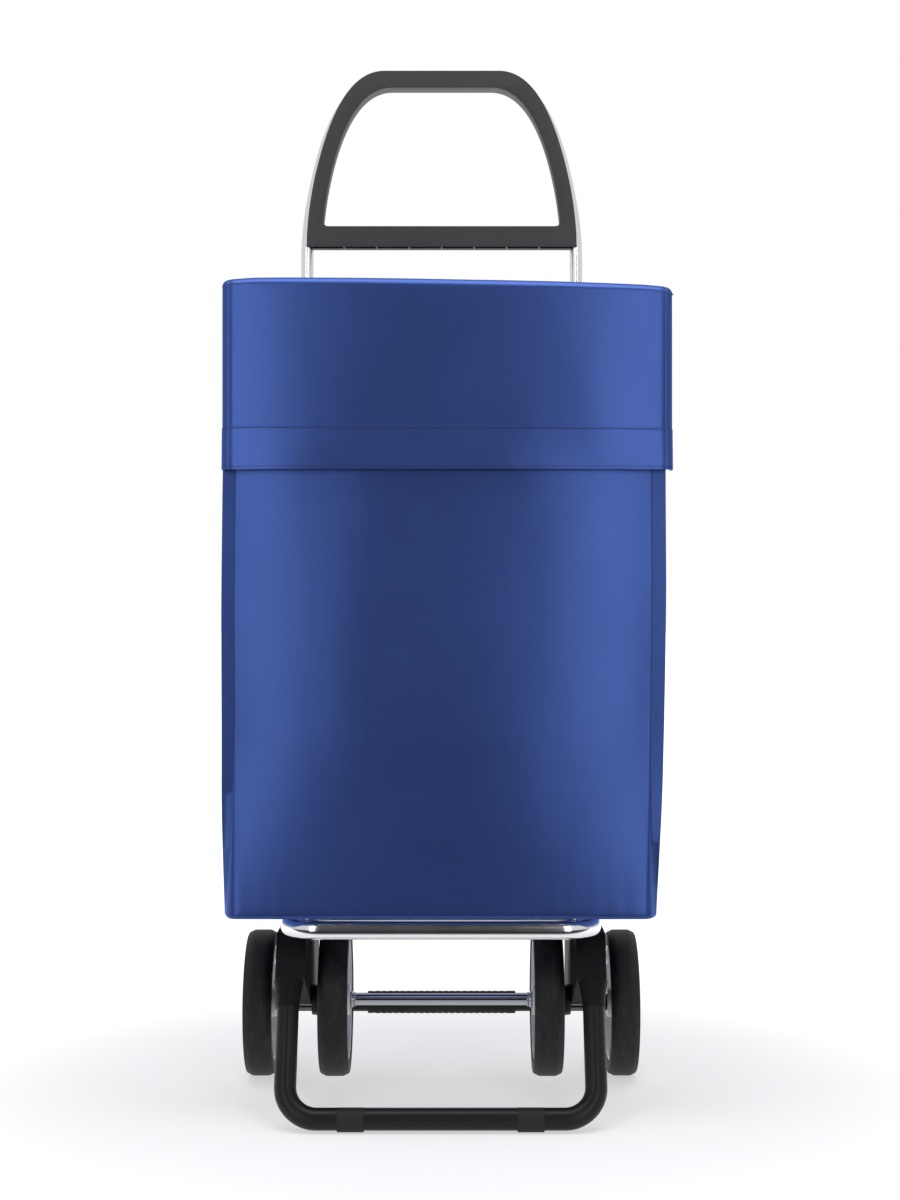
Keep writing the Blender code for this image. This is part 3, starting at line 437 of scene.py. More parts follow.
def bentPath(corners, radius, steps=12):
    corners = [Vector(corner) for corner in corners]
    path = [corners[0]]
    for before, corner, after in zip(corners, corners[1:], corners[2:]):
        towards, away = (before - corner).normalized(), (after - corner).normalized()
        half = towards.angle(away) / 2
        centre = corner + (towards + away).normalized() * (radius / sin(half))
        start = (corner + towards * (radius / tan(half)) - centre).normalized()
        end = (corner + away * (radius / tan(half)) - centre).normalized()
        path += [centre + start.slerp(end, i / steps) * radius for i in range(steps + 1)]
    return path + [corners[-1]]


def polyCurve(name, runs):
    curve = bpy.data.curves.new(name, "CURVE")
    curve.dimensions = "3D"
    for run in runs:
        spline = curve.splines.new("POLY")
        spline.points.add(len(run) - 1)
        for point, place in zip(spline.points, run):
            point.co = (*place, 1)
    return newObject(name, curve)


# --- Geometry Nodes trees

def newTree(name, inputs):
    tree = bpy.data.node_groups.new(name, "GeometryNodeTree")
    tree.interface.new_socket("Geometry", in_out="INPUT", socket_type="NodeSocketGeometry")
    tree.interface.new_socket("Geometry", in_out="OUTPUT", socket_type="NodeSocketGeometry")
    identifiers = {}
    for label, kind in inputs:
        socket = tree.interface.new_socket(label, in_out="INPUT", socket_type="NodeSocket" + kind)
        identifiers[label] = socket.identifier
    net = Net(tree)
    start = net.add("NodeGroupInput")
    return tree, identifiers, net, start


def endTree(net, geometry, material):
    solid = net.add("GeometryNodeRealizeInstances", {}, {"Geometry": geometry})
    painted = net.add("GeometryNodeSetMaterial", {}, {"Geometry": solid, "Material": material})
    output = net.tree.nodes.new("NodeGroupOutput")
    net.plug(painted, output.inputs["Geometry"])


def grow(obj, made, values):
    # run a tree on an object and keep the result as a plain mesh
    tree, identifiers = made
    modifier = obj.modifiers.new(tree.name, "NODES")
    modifier.node_group = tree
    for label, value in values.items():
        modifier[identifiers[label]] = value
    return bake(obj)


def tubeTree():
    tree, identifiers, net, start = newTree("ovalTube", [
        ("Width", "Float"), ("Depth", "Float"), ("Sides", "Int"), ("Material", "Material")])
    circle = net.add("GeometryNodeCurvePrimitiveCircle", {}, {
        "Resolution": start.out("Sides"), "Radius": 0.5}, "Curve")
    scale = net.add("ShaderNodeCombineXYZ", {}, {"X": start.out("Width"), "Y": start.out("Depth"), "Z": 1.0})
    oval = net.add("GeometryNodeTransform", {}, {"Geometry": circle, "Scale": scale})
    skin = net.add("GeometryNodeCurveToMesh", {}, {
        "Curve": start.out("Geometry"), "Profile Curve": oval, "Fill Caps": True})
    shaded = net.add("GeometryNodeSetShadeSmooth", {}, {"Geometry": skin, "Shade Smooth": True})
    endTree(net, shaded, start.out("Material"))
    return tree, identifiers


def stitchTree():
    tree, identifiers, net, start = newTree("stitchRow", [
        ("Pitch", "Float"), ("Length", "Float"), ("Thickness", "Float"), ("Seed", "Int"),
        ("Material", "Material")])
    path = net.add("GeometryNodeResampleCurve", {"mode": "LENGTH"}, {
        "Curve": start.out("Geometry"), "Length": start.out("Pitch")})
    tangent = net.add("GeometryNodeInputTangent")
    turn = net.add("FunctionNodeAlignRotationToVector", {"axis": "Z"}, {"Vector": tangent})
    thread = net.add("GeometryNodeMeshUVSphere", {}, {"Segments": 6, "Rings": 5, "Radius": 0.5}, "Mesh")
    jitter = net.add("FunctionNodeRandomValue", {"data_type": "FLOAT"}, {
        2: 0.88, 3: 1.10, "Seed": start.out("Seed")}, 1)
    size = net.add("ShaderNodeCombineXYZ", {}, {
        "X": start.out("Thickness"), "Y": start.out("Thickness"), "Z": start.out("Length") * jitter})
    row = net.add("GeometryNodeInstanceOnPoints", {}, {
        "Points": path, "Instance": thread, "Rotation": turn, "Scale": size})
    endTree(net, row, start.out("Material"))
    return tree, identifiers


def ribTree():
    tree, identifiers, net, start = newTree("ribRow", [
        ("Pitch", "Float"), ("Width", "Float"), ("Depth", "Float"), ("Height", "Float"),
        ("Material", "Material")])
    path = net.add("GeometryNodeResampleCurve", {"mode": "LENGTH"}, {
        "Curve": start.out("Geometry"), "Length": start.out("Pitch")})
    size = net.add("ShaderNodeCombineXYZ", {}, {
        "X": start.out("Width"), "Y": start.out("Depth"), "Z": start.out("Height")})
    rib = net.add("GeometryNodeMeshCube", {}, {"Size": size}, "Mesh")
    row = net.add("GeometryNodeInstanceOnPoints", {}, {"Points": path, "Instance": rib})
    endTree(net, row, start.out("Material"))
    return tree, identifiers


def spokeTree():
    tree, identifiers, net, start = newTree("spokeRing", [
        ("Count", "Int"), ("Inner", "Float"), ("Length", "Float"), ("Width", "Float"), ("Depth", "Float"),
        ("Material", "Material")])
    size = net.add("ShaderNodeCombineXYZ", {}, {
        "X": start.out("Width"), "Y": start.out("Depth"), "Z": start.out("Length")})
    rib = net.add("GeometryNodeMeshCube", {}, {"Size": size, "Vertices Z": 4}, "Mesh")
    lift = net.add("ShaderNodeCombineXYZ", {}, {"Z": start.out("Inner") + start.out("Length") * 0.5})
    spoke = net.add("GeometryNodeTransform", {}, {"Geometry": rib, "Translation": lift})
    points = net.add("GeometryNodeMeshLine", {}, {"Count": start.out("Count"), "Offset": (0, 0, 0)}, "Mesh")
    index = net.add("GeometryNodeInputIndex")
    angle = index * (2 * pi) / start.out("Count")
    turn = net.add("ShaderNodeCombineXYZ", {}, {"X": angle})
    ring = net.add("GeometryNodeInstanceOnPoints", {}, {"Points": points, "Instance": spoke, "Rotation": turn})
    endTree(net, ring, start.out("Material"))
    return tree, identifiers


trees = {"tube": tubeTree(), "stitch": stitchTree(), "rib": ribTree(), "spoke": spokeTree()}


def sweptTube(name, runs, width, depth, finish, steps=40):
    obj = grow(polyCurve(name, runs), trees["tube"], {
        "Width": width, "Depth": depth, "Sides": steps, "Material": finishes[finish]})
    smooth(obj.data, radians(50))
    return obj


def stitches(name, runs, seed=1, pitch=0.0033, length=0.0019, thickness=0.00085):
    return grow(polyCurve(name, runs), trees["stitch"], {
        "Pitch": pitch, "Length": length, "Thickness": thickness, "Seed": seed, "Material": finishes["thread"]})


print("trees made")


# --- camera, floor and lights

studio = {
    "cameraPlace": (0.0087, -2.090, 0.495), "lens": 62.5, "sensor": 36.0,
    "floorReach": 30.0, "glow": 1.34, "glowNear": 0.40, "glowFrom": (0.28, 0.95), "darkFloor": (0.30, 0.48),
    "ambient": (0.46, 0.47, 0.50, 1), "ambientGloss": (0.72, 0.73, 0.75, 1),
    "ambientFront": (0.035, 0.035, 0.04, 1), "darkFront": (0.15, 0.60), "darkSlot": (0.20, 0.42),
    "lights": (
        ("stripLeft", (-0.84, -1.75, 0.70), (0, -0.1, 0.50), (0.36, 2.0), 7.5),
        ("stripRight", (0.72, -1.80, 0.70), (0, -0.1, 0.50), (0.42, 2.0), 8.5),
        ("softboxTop", (0.0, -0.45, 2.4), (0, 0, 0.4), (1.8, 1.2), 24),
    ),
}


def makeCamera():
    data = bpy.data.cameras.new("camera")
    data.lens = studio["lens"]
    data.sensor_width = studio["sensor"]
    camera = bpy.data.objects.new("camera", data)
    camera.location = studio["cameraPlace"]
    camera.rotation_euler = (pi / 2, 0, 0)
    bpy.context.scene.collection.objects.link(camera)
    bpy.context.scene.camera = camera


def makeFloor():
    # a pale sweep that glows out to white, and that reflections see as dark in front
    look = studio
    material = bpy.data.materials.new("paleFloor")
    material.use_nodes = True
    net = Net(material.node_tree)
    place = net.add("ShaderNodeTexCoord", {}, {}, "Object")
    axes = net.add("ShaderNodeSeparateXYZ", {}, {"Vector": place})
    reach = net.add("ShaderNodeVectorMath", {"operation": "LENGTH"}, {0: place}, "Value")
    seen = net.add("ShaderNodeLightPath", {}, {}, "Is Camera Ray")
    front = net.step(0.0 - axes.out("Y"), *look["darkFloor"]) * (1.0 - seen)
    cloud = net.grain(place, 3.0, 3)
    colour = net.mixColour(cloud, (0.90, 0.905, 0.915, 1), (0.93, 0.93, 0.94, 1))
    matt = net.add("ShaderNodeBsdfDiffuse", {}, {"Color": net.mixColour(front, colour, (0.03, 0.03, 0.03, 1))})
    white = (look["glow"], look["glow"], look["glow"], 1)
    glow = net.add("ShaderNodeEmission", {}, {"Color": net.mixColour(front, white, (0.02, 0.02, 0.02, 1))})
    share = net.step(reach, *look["glowFrom"]) * (1.0 - look["glowNear"]) + look["glowNear"]
    mixed = net.add("ShaderNodeMixShader", {}, {0: share, 1: matt, 2: glow})
    net.plug(mixed, material.node_tree.nodes["Material Output"].inputs["Surface"])
    bm = bmesh.new()
    bmesh.ops.create_grid(bm, x_segments=4, y_segments=4, size=look["floorReach"])
    floor = newObject("floor", meshFrom(bm, "floor"), material)


def areaLight(name, place, target, size, energy):
    data = bpy.data.lights.new(name, "AREA")
    data.shape = "RECTANGLE"
    data.size, data.size_y = size
    data.energy = energy
    light = bpy.data.objects.new(name, data)
    light.location = place
    light.rotation_euler = (Vector(target) - Vector(place)).to_track_quat("-Z", "Y").to_euler()
    bpy.context.scene.collection.objects.link(light)


def makeLights():
    world = bpy.data.worlds.new("studio")
    bpy.context.scene.world = world
    world.use_nodes = True
    net = Net(world.node_tree)
    background = world.node_tree.nodes["Background"]
    direction = net.add("ShaderNodeSeparateXYZ", {}, {
        "Vector": net.add("ShaderNodeTexCoord", {}, {}, "Generated")})
    front = net.step(0.0 - direction.out("Y"), *studio["darkFront"])
    seen = net.add("ShaderNodeLightPath", {}, {}, "Is Camera Ray")
    matt = net.mixColour(front, studio["ambient"], studio["ambientFront"])
    slot = (1.0 - net.step(direction.out("X").calc("ABSOLUTE"), *studio["darkSlot"])) * (
        net.step(0.0 - direction.out("Y"), 0.05, 0.35))
    gloss = net.mixColour(slot, studio["ambientGloss"], studio["ambientFront"])
    around = net.mixColour(seen.out("Is Glossy Ray"), matt, gloss)
    net.plug(net.mixColour(seen, around, (1.0, 1.0, 1.0, 1)), background.inputs["Color"])
    for name, place, target, size, energy in studio["lights"]:
        areaLight(name, place, target, size, energy)
    bpy.context.scene.view_settings.view_transform = "Standard"


makeCamera()
makeFloor()
makeLights()
print("camera, floor and lights made")


# --- arch tube, platform loop, foot bar

arch = {
    "x": 0.141, "y": 0.097, "width": 0.0130, "depth": 0.0180, "foot": 0.103, "top": 1.0478,
    "cover": 0.0023, "shoulderDrop": 0.1038, "shoulderIn": 0.0125, "lean": 0.24, "flatHalf": 0.060,
    "gripHeight": 0.1838, "kneeBelow": 0.014,
}


def archHalf(kneeIn, shoulderIn, top, flat, steps):
    foot = Vector((arch["x"] - kneeIn, arch["top"] - arch["gripHeight"] - arch["kneeBelow"], 0))
    shoulder = Vector((arch["x"] - shoulderIn, arch["top"] - arch["shoulderDrop"], 0))
    crown = Vector((flat, top, 0))
    rise, turn = shoulder.y - foot.y, top - shoulder.y
    lower = interpolate_bezier(foot, foot + Vector((0, rise * 0.34, 0)),
                               shoulder + Vector((arch["lean"], -1, 0)) * rise * 0.34, shoulder, steps)
    upper = interpolate_bezier(shoulder, shoulder + Vector((-arch["lean"], 1, 0)) * turn * 0.46,
                               crown + Vector(((shoulder.x - flat) * 0.56, 0, 0)), crown, steps)
    return [(p.x, p.y) for p in lower] + [(p.x, p.y) for p in upper[1:]]


def mirrored(half):
    return half + [(-x, z) for x, z in reversed(half)]


def archPoints(steps=22):
    top = arch["top"] - arch["cover"] - arch["width"] / 2
    line = mirrored(archHalf(0, arch["shoulderIn"], top, arch["flatHalf"], steps))
    line = [(arch["x"], arch["foot"])] + line + [(-arch["x"], arch["foot"])]
    return [(x, arch["y"], z) for x, z in line]


loopLook = {"height": 0.0176, "width": 0.0130, "bend": 0.033}
footLook = {
    "bar": (-0.1515, 0.0120), "legTop": (-0.074, 0.1665), "legX": 0.1458, "tube": 0.0105, "bend": 0.030,
    "shoeSize": 0.0113, "shoeWall": 0.002, "collarTop": 0.1290, "collarBottom": 0.1060,
    "collarRadii": (0.0142, 0.0108), "collarFit": 0.0001,
}


def makeTubes():
    tube = sweptTube("arch_tube", [archPoints()], arch["width"], arch["depth"], "aluminium")
    settle(tube, ["frame_tube"])
    low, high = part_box("platform_loop")
    width = loopLook["width"]
    reach = high[0] - width / 2
    front = low[1] + width / 2
    level = (low[2] + high[2]) / 2
    path = bentPath([(-reach, high[1], level), (-reach, front, level), (reach, front, level),
                     (reach, high[1], level)], loopLook["bend"], 16)
    loop = sweptTube("platform_loop_tube", [path], width, loopLook["height"], "aluminiumLoop")
    settle(loop, ["platform_loop"])
    x, bar, top = footLook["legX"], footLook["bar"], footLook["legTop"]
    path = bentPath([(-x, *top), (-x, *bar), (x, *bar), (x, *top)], footLook["bend"], 16)
    foot = sweptTube("foot_bar_tube", [path], 2 * footLook["tube"], 2 * footLook["tube"], "blackCoat")
    settle(foot, ["foot_tube"])


makeTubes()
print("tubes made")


# --- moulded handle

gripLook = {
    "expose": 0.0060, "arm": 0.0160, "bar": 0.0177, "thickness": 0.0230, "crossbar": 0.0215,
    "cornerRound": 0.0050, "edge": 0.0036, "gap": 0.0003, "lipPitch": 0.0340, "lipGap": 0.0016,
}


def outlineSolid(name, outlines, thickness, y):
    curve = bpy.data.curves.new(name, "CURVE")
    curve.dimensions = "2D"
    curve.fill_mode = "BOTH"
    curve.extrude = thickness / 2
    for outline in outlines:
        spline = curve.splines.new("POLY")
        spline.points.add(len(outline) - 1)
        spline.use_cyclic_u = True
        for point, (u, v) in zip(spline.points, outline):
            point.co = (u, v, 0, 1)
    obj = bake(newObject(name, curve))
    obj.data.transform(Matrix(((1, 0, 0, 0), (0, 0, -1, y), (0, 1, 0, 0), (0, 0, 0, 1))))
    bm = bmesh.new()
    bm.from_mesh(obj.data)
    bmesh.ops.remove_doubles(bm, verts=bm.verts, dist=0.00002)
    bmesh.ops.recalc_face_normals(bm, faces=bm.faces)
    bm.to_mesh(obj.data)
    bm.free()
    return obj


def makeGrip():
    look = gripLook
    bottom = arch["top"] - arch["gripHeight"]
    outerIn = arch["width"] / 2 - look["expose"]
    outer = archHalf(-outerIn, arch["shoulderIn"] - arch["cover"], arch["top"], arch["flatHalf"], 26)
    inner = archHalf(look["arm"] - outerIn, arch["shoulderIn"] - arch["cover"] + look["arm"],
                     arch["top"] - look["bar"], arch["flatHalf"] - 0.008, 26)
    sill = bottom + look["crossbar"]
    outer = [(x, z) for x, z in outer if z > bottom + 0.004]
    outer.insert(0, (outer[0][0] + arch["lean"] * 0.2 * (outer[0][1] - bottom), bottom))
    inner = [(x, z) for x, z in inner if z > sill + look["cornerRound"]]
    cornerX = inner[0][0] + arch["lean"] * 0.5 * (inner[0][1] - sill)
    bend = bentPath([(cornerX - 0.03, sill, 0), (cornerX, sill, 0), (*inner[0], 0)], look["cornerRound"], 8)
    inner = [(p.x, p.y) for p in bend[1:-1]] + inner
    grip = outlineSolid("handle_moulding", [mirrored(outer), mirrored(inner)], look["thickness"], arch["y"])
    grip.data.materials.append(finishes["grip"])
    bevelled(grip, "edge", look["edge"], 5, 60)
    channel = sweptTube("grip_channel", [archPoints()], arch["width"] + 2 * look["gap"],
                        arch["depth"] + 2 * look["gap"], "grip")
    cutBy(grip, "channel", channel)
    grip = bake(grip)
    bpy.data.objects.remove(channel)
    smooth(grip.data, radians(34))
    settle(grip, ["handle_grip"])
    front = arch["y"] - look["thickness"] / 2
    span = look["lipPitch"] * 7
    # notched lips under the crossbar, given the near-black moulding finish rather than the grip's charcoal:
    # painted shade that draws the crossbar's shaded underside as a dark line
    line = [(-span / 2, front + 0.006, bottom - 0.0006), (span / 2, front + 0.006, bottom - 0.0006)]
    lip = grow(polyCurve("handle_lip_painted_shade", [line]), trees["rib"], {
        "Pitch": look["lipPitch"], "Width": look["lipPitch"] - look["lipGap"], "Depth": 0.008, "Height": 0.0016,
        "Material": finishes["bracket"]})
    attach(lip, "chassis")
    line = [(-span / 2 + 0.017, front - 0.00002, sill - look["crossbar"] / 2),
            (span / 2 - 0.017, front - 0.00002, sill - look["crossbar"] / 2)]
    sink = grow(polyCurve("handle_sink_lines", [line]), trees["rib"], {
        "Pitch": look["lipPitch"], "Width": 0.0008, "Depth": 0.0003,
        "Height": look["crossbar"] - 2.4 * look["edge"], "Material": finishes["grip"]})
    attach(sink, "chassis")


makeGrip()
print("handle made")


# --- wheels

wheelLook = {
    "radius": 0.075, "width": 0.0288, "tyreDepth": 0.0150, "treadFlat": 0.0084,
    "shoulder": 0.0030, "web": 0.0050, "lip": 0.0080, "hub": 0.0150, "windows": 5, "windowRadius": 0.0100,
    "gap": 0.0003, "bushWall": 0.0020,
}
axleLook = {
    "mainRadius": 0.0050, "auxRadius": 0.0057, "torsion": (0.0095, 0.0080),
    "sleeve": (0.0116, 0.0112, 0.0108, 0.0098),
    "grooves": 22, "plainEnds": 0.006, "spacer": (0.0087, 0.0053), "capSeat": (0.0053, 0.0022),
}


def tyreProfile():
    look = wheelLook
    half, seat = look["width"] / 2, look["radius"] - look["tyreDepth"]
    flat = look["treadFlat"]
    corner = look["radius"] - look["shoulder"]
    side = [(look["radius"], 0.0), (look["radius"], flat * 0.5), (look["radius"] - 0.0001, flat),
            (look["radius"] - 0.0005, flat + 0.0008), (corner + 0.0003, half - 0.0006), (corner - 0.0008, half),
            (seat + 0.0034, half), (seat + 0.0030, half - 0.0008), (seat + 0.0022, half - 0.0008),
            (seat + 0.0018, half), (seat + 0.0004, half - 0.0002)]
    inside = [(seat, half - 0.0012), (seat, -half + 0.0012)]
    return side + inside + [(r, -a) for r, a in reversed(side[1:])]


def rimProfile(bore):
    look = wheelLook
    edge = look["radius"] - look["tyreDepth"] - look["gap"]
    face = look["width"] / 2 - 0.0010
    web, hub, half = look["web"] / 2, look["hub"], look["width"] / 2
    lip = edge - look["lip"] / 2
    corners = [(edge, face), (edge, -face), (lip, -face), (lip - 0.002, -web), (hub + 0.002, -web),
               (hub, -half), (bore, -half), (bore, half), (hub, half), (hub + 0.002, web),
               (lip - 0.002, web), (lip, face)]
    return rounded(corners, 0.0010, 3)


def makeRim(name, centre, bore):
    look = wheelLook
    rim = turned(name + "_rim_disc", rimProfile(bore), centre, finishes["rim"], 96)
    lip = look["radius"] - look["tyreDepth"] - look["gap"] - look["lip"] / 2 - 0.002
    middle = (lip + look["hub"] + 0.002) / 2
    bm = bmesh.new()
    for i in range(look["windows"]):
        angle = 2 * pi * (i + 0.25) / look["windows"]
        place = Vector(centre) + Vector((0, middle * cos(angle), middle * sin(angle)))
        turn = Matrix.Translation(place) @ Matrix.Rotation(pi / 2, 4, "Y")
        bmesh.ops.create_cone(bm, cap_ends=True, segments=40, radius1=look["windowRadius"],
                              radius2=look["windowRadius"], depth=look["width"] * 2, matrix=turn)
    holes = newObject(name + "_holes", meshFrom(bm, "holes"))
    cutBy(rim, "windows", holes)
    bevelled(rim, "soft", 0.0005, 2, 60)
    rim = bake(rim)
    bpy.data.objects.remove(holes)
    smooth(rim.data, radians(40))
    settle(rim, [name + "_rim"])
    seed = newObject(name + "_ribs", bpy.data.meshes.new("ribs"))
    ribs = grow(seed, trees["spoke"], {
        "Count": look["windows"], "Inner": look["hub"] - 0.001, "Length": lip - look["hub"] + 0.002,
        "Width": look["width"] * 0.55, "Depth": 0.0022, "Material": finishes["rim"]})
    step = Matrix.Rotation(radians(-90 / look["windows"]), 4, "X")
    ribs.data.transform(Matrix.Translation(Vector(centre)) @ step)
    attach(ribs, bodyOf[name + "_rim"])


def makeWheels():
    for name in wheelNames:
        low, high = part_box(name + "_tyre")
        centre = [(low[i] + high[i]) / 2 for i in range(3)]
        tyre = turned(name + "_tyre_ring", tyreProfile(), centre, finishes["tyre"], 128,
                      treadFrom=wheelLook["radius"] - 0.004)
        settle(tyre, [name + "_tyre"])
        axle = axleLook["mainRadius"] if "main" in name else axleLook["auxRadius"]
        makeRim(name, centre, axle + wheelLook["bushWall"] + 2 * wheelLook["gap"])
        repaint(name + "_bush", "nylon")


makeWheels()
print("wheels made")


# --- axles, carriage and small parts

def along(node):
    low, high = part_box(node)
    return (low[0] + high[0]) / 2, (low[1] + high[1]) / 2, (low[2] + high[2]) / 2, (high[0] - low[0]) / 2


def makeAxles():
    look = axleLook
    for node, radius, finish, chamfer in (("main_axle", look["mainRadius"], "zinc", 0.0010),
                                          ("aux_axle", look["auxRadius"], "chrome", 0.0012)):
        x, y, z, half = along(node)
        profile = [(0, half), (radius - chamfer, half), (radius, half - chamfer), (radius, -half + chamfer),
                   (radius - chamfer, -half), (0, -half)]
        settle(turned(node + "_bar", profile, (x, y, z), finishes[finish], 64, False), [node])
    x, y, z, half = along("torsion_tube")
    wide, narrow = look["torsion"]
    tube = rounded([(wide, half), (wide, -half), (narrow, -half), (narrow, half)], 0.0005)
    settle(turned("torsion_tube_shell", tube, (x, y, z), finishes["blackCoat"], 72), ["torsion_tube"])
    x, y, z, half = along("pedal_sleeve")
    rib, groove, rim, bore = look["sleeve"]
    ribbed = 2 * half - 2 * look["plainEnds"]
    pitch = ribbed / look["grooves"]
    sleeve = [(rim, half), (rib, half - 0.001)]
    for i in range(look["grooves"]):
        start = half - look["plainEnds"] - ribbed * i / look["grooves"]
        sleeve += [(rib, start), (rib, start - pitch * 0.60), (groove, start - pitch * 0.68),
                   (groove, start - pitch * 0.92)]
    sleeve += [(rib, -half + 0.001), (rim, -half), (bore, -half), (bore, half)]
    settle(turned("pedal_sleeve_grip", sleeve, (x, y, z), finishes["rubber"], 64), ["pedal_sleeve"])
    for side, sign in sides:
        node = "aux_collar_" + side
        x, y, z, half = along(node)
        bead = rounded([(0.0080, half), (0.0080, half * 0.2), (0.0070, 0), (0.0070, -half * 0.5), (0.0074, -half),
                        (0.0060, -half), (0.0060, half)], 0.0008)
        bead = [(r, a * sign) for r, a in bead]
        settle(turned(node + "_bead", bead, (x, y, z), finishes["chrome"], 64), [node])
        node = "axle_spacer_" + side
        x, y, z, half = along(node)
        wide, narrow = look["spacer"]
        boss = rounded([(wide, half), (wide, -half), (narrow, -half), (narrow, half)], 0.0009)
        settle(turned(node + "_boss", boss, (x, y, z), finishes["bracket"], 56), [node])
        node = "axle_cap_" + side
        low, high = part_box(node)
        base, tip = (low[0], high[0]) if sign > 0 else (high[0], low[0])
        depth = abs(tip - base)
        radius = (high[2] - low[2]) / 2
        dome = [(0, depth)] + [(radius * sin(pi / 2 * k / 7), depth * (0.45 + 0.55 * cos(pi / 2 * k / 7)))
                               for k in range(1, 8)]
        bore, seat = look["capSeat"]
        dome += [(radius, 0.0003), (radius - 0.0003, 0), (bore, 0), (bore, seat), (0, seat)]
        dome = [(r, a * sign) for r, a in dome]
        settle(turned(node + "_dome", dome, (base, *[(low[i] + high[i]) / 2 for i in (1, 2)]),
                      finishes["bracket"], 56, False), [node])


def makeSmallParts():
    plan = {
        "side_bracket_l": ("bracket", 0.0014), "side_bracket_r": ("bracket", 0.0014),
        "carriage_arm_l": ("blackCoat", 0.0008), "carriage_arm_r": ("blackCoat", 0.0008),
        "bag_rail": ("aluminium", 0.0), "lower_brace": ("aluminium", 0.0),
        "platform_slat": ("aluminiumLoop", 0.0), "base_board": ("board", 0.0008),
        "hanger_loop_l": ("webbing", 0.0005), "hanger_loop_r": ("webbing", 0.0005),
    }
    for side in dict(sides):
        plan["grip_screw_" + side] = ("zinc", 0.0003)
        plan["leg_screw_" + side] = ("zinc", 0.0003)
        plan["platform_pin_" + side] = ("zinc", 0.0004)
        plan["snap_stud_" + side] = ("chrome", 0.0003)
        plan["bag_tab_" + side] = ("fabric", 0.0008)
        repaint("torsion_bush_" + side, "nylon")
    for node, (finish, edge) in plan.items():
        refined(node, finish, edge)


def makeFootFittings():
    # rubber shoes clipped round the bar, and the tapered mouths that the legs leave
    look = footLook
    for side, sign in sides:
        x, half = along("foot_pad_" + side)[::3]
        # a little larger than the bar, and resting on the floor
        outer, inner = look["shoeSize"], look["shoeSize"] - look["shoeWall"]
        shoe = rounded([(outer, half), (outer, -half), (inner, -half), (inner, half)], 0.0006)
        settle(turned("foot_shoe_" + side, shoe, (x, look["bar"][0], outer), finishes["rubber"], 48),
               ["foot_pad_" + side])
        top, bottom = Vector((0, *look["legTop"])), Vector((0, *look["bar"]))
        run = bottom - top
        start = top + run * ((look["collarTop"] - top.z) / run.z)
        end = top + run * ((look["collarBottom"] - top.z) / run.z)
        length = (end - start).length
        wide, narrow = look["collarRadii"]
        steps = 14
        profile = [(look["tube"] + look["collarFit"], 0.0)]
        for k in range(steps + 1):
            t = k / steps
            profile.append((narrow + (wide - narrow) * (1 - t) ** 1.6, t * length))
        profile.append((look["tube"] + look["collarFit"], length))
        collar = turned("leg_mouth_" + side, profile, (0, 0, 0), finishes["bracket"], 48)
        turn = Vector((1, 0, 0)).rotation_difference(run.normalized()).to_matrix().to_4x4()
        collar.data.transform(Matrix.Translation((sign * look["legX"], *start.yz)) @ turn)
        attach(collar, "chassis")


makeAxles()
makeSmallParts()
makeFootFittings()
print("axles, carriage and small parts made")


# --- bag

bagLook = {
    "bottom": 0.1950, "top": 0.795, "front": -0.138, "back": 0.085, "corner": 0.014, "bottomRound": 0.0045,
    "left": [(0.195, 0.2040), (0.214, 0.2050), (0.300, 0.2075), (0.500, 0.2080), (0.610, 0.2070),
             (0.795, 0.2015)],
    "right": [(0.195, 0.2030), (0.242, 0.2060), (0.308, 0.2095), (0.401, 0.2115), (0.495, 0.2125),
              (0.607, 0.2120), (0.795, 0.2125)],
    "frontFall": 0.0120, "sideFall": 0.005, "lowBelly": 0.0022,
    "crease": 0.0015, "sideCrease": 0.0030, "pucker": 0.0001,
    "wall": 0.0016, "rows": 96, "across": 84, "deep": 44, "slope": 0.0175, "slopeFrom": -0.17,
    "fold": 0.14, "tape": 0.0006,
}


def between(points, z):
    # smooth curve through listed points
    for (z0, w0), (z1, w1) in zip(points, points[1:]):
        if z <= z1:
            t = max(0.0, min(1.0, (z - z0) / (z1 - z0)))
            return w0 + (w1 - w0) * t
    return points[-1][1]


def widthAt(points, z):
    spread = 0.022
    return sum(between(points, z + spread * k / 2) for k in (-2, -1, 0, 1, 2)) / 5


def creases(place, seed, size=0.12):
    # broad soft folds that mostly run up and down
    drift = noise.noise(Vector((place.x / size + seed, place.y / size, place.z / (size * 2.2))))
    fine = size * 0.42
    ripple = noise.noise(Vector((place.x / fine + seed * 3.1, place.y / fine, place.z / size)))
    return drift * 0.7 + ripple * 0.3


def bagRing(z, inset=0.0):
    # one level of the bag as points with outward normals and run length
    look = bagLook
    left, right = widthAt(look["left"], z), widthAt(look["right"], z)
    x0, x1 = -left + inset, right - inset
    y0, y1 = look["front"] + inset, look["back"] - inset
    r = max(0.004, look["corner"] - inset)
    across, deep, turn = look["across"], look["deep"], 7
    points = []

    def edge(ax, ay, bx, by, nx, ny, count, fall):
        for i in range(count):
            t = i / count
            bulge = 1 - abs(2 * t - 1) ** 2.6
            points.append((ax + (bx - ax) * t, ay + (by - ay) * t, nx, ny, bulge, fall))

    def corner(cx, cy, start, fall):
        for i in range(turn):
            angle = start + pi / 2 * i / turn
            points.append((cx + r * cos(angle), cy + r * sin(angle), cos(angle), sin(angle), 0.0, fall))

    edge(x0 + r, y0, x1 - r, y0, 0, -1, across, 1)
    corner(x1 - r, y0 + r, -pi / 2, 1)
    edge(x1, y0 + r, x1, y1 - r, 1, 0, deep, 2)
    corner(x1 - r, y1 - r, 0, 2)
    edge(x1 - r, y1, x0 + r, y1, 0, 1, across, 3)
    corner(x0 + r, y1 - r, pi / 2, 3)
    edge(x0, y1 - r, x0, y0 + r, -1, 0, deep, 4)
    corner(x0 + r, y0 + r, pi, 1)
    return points


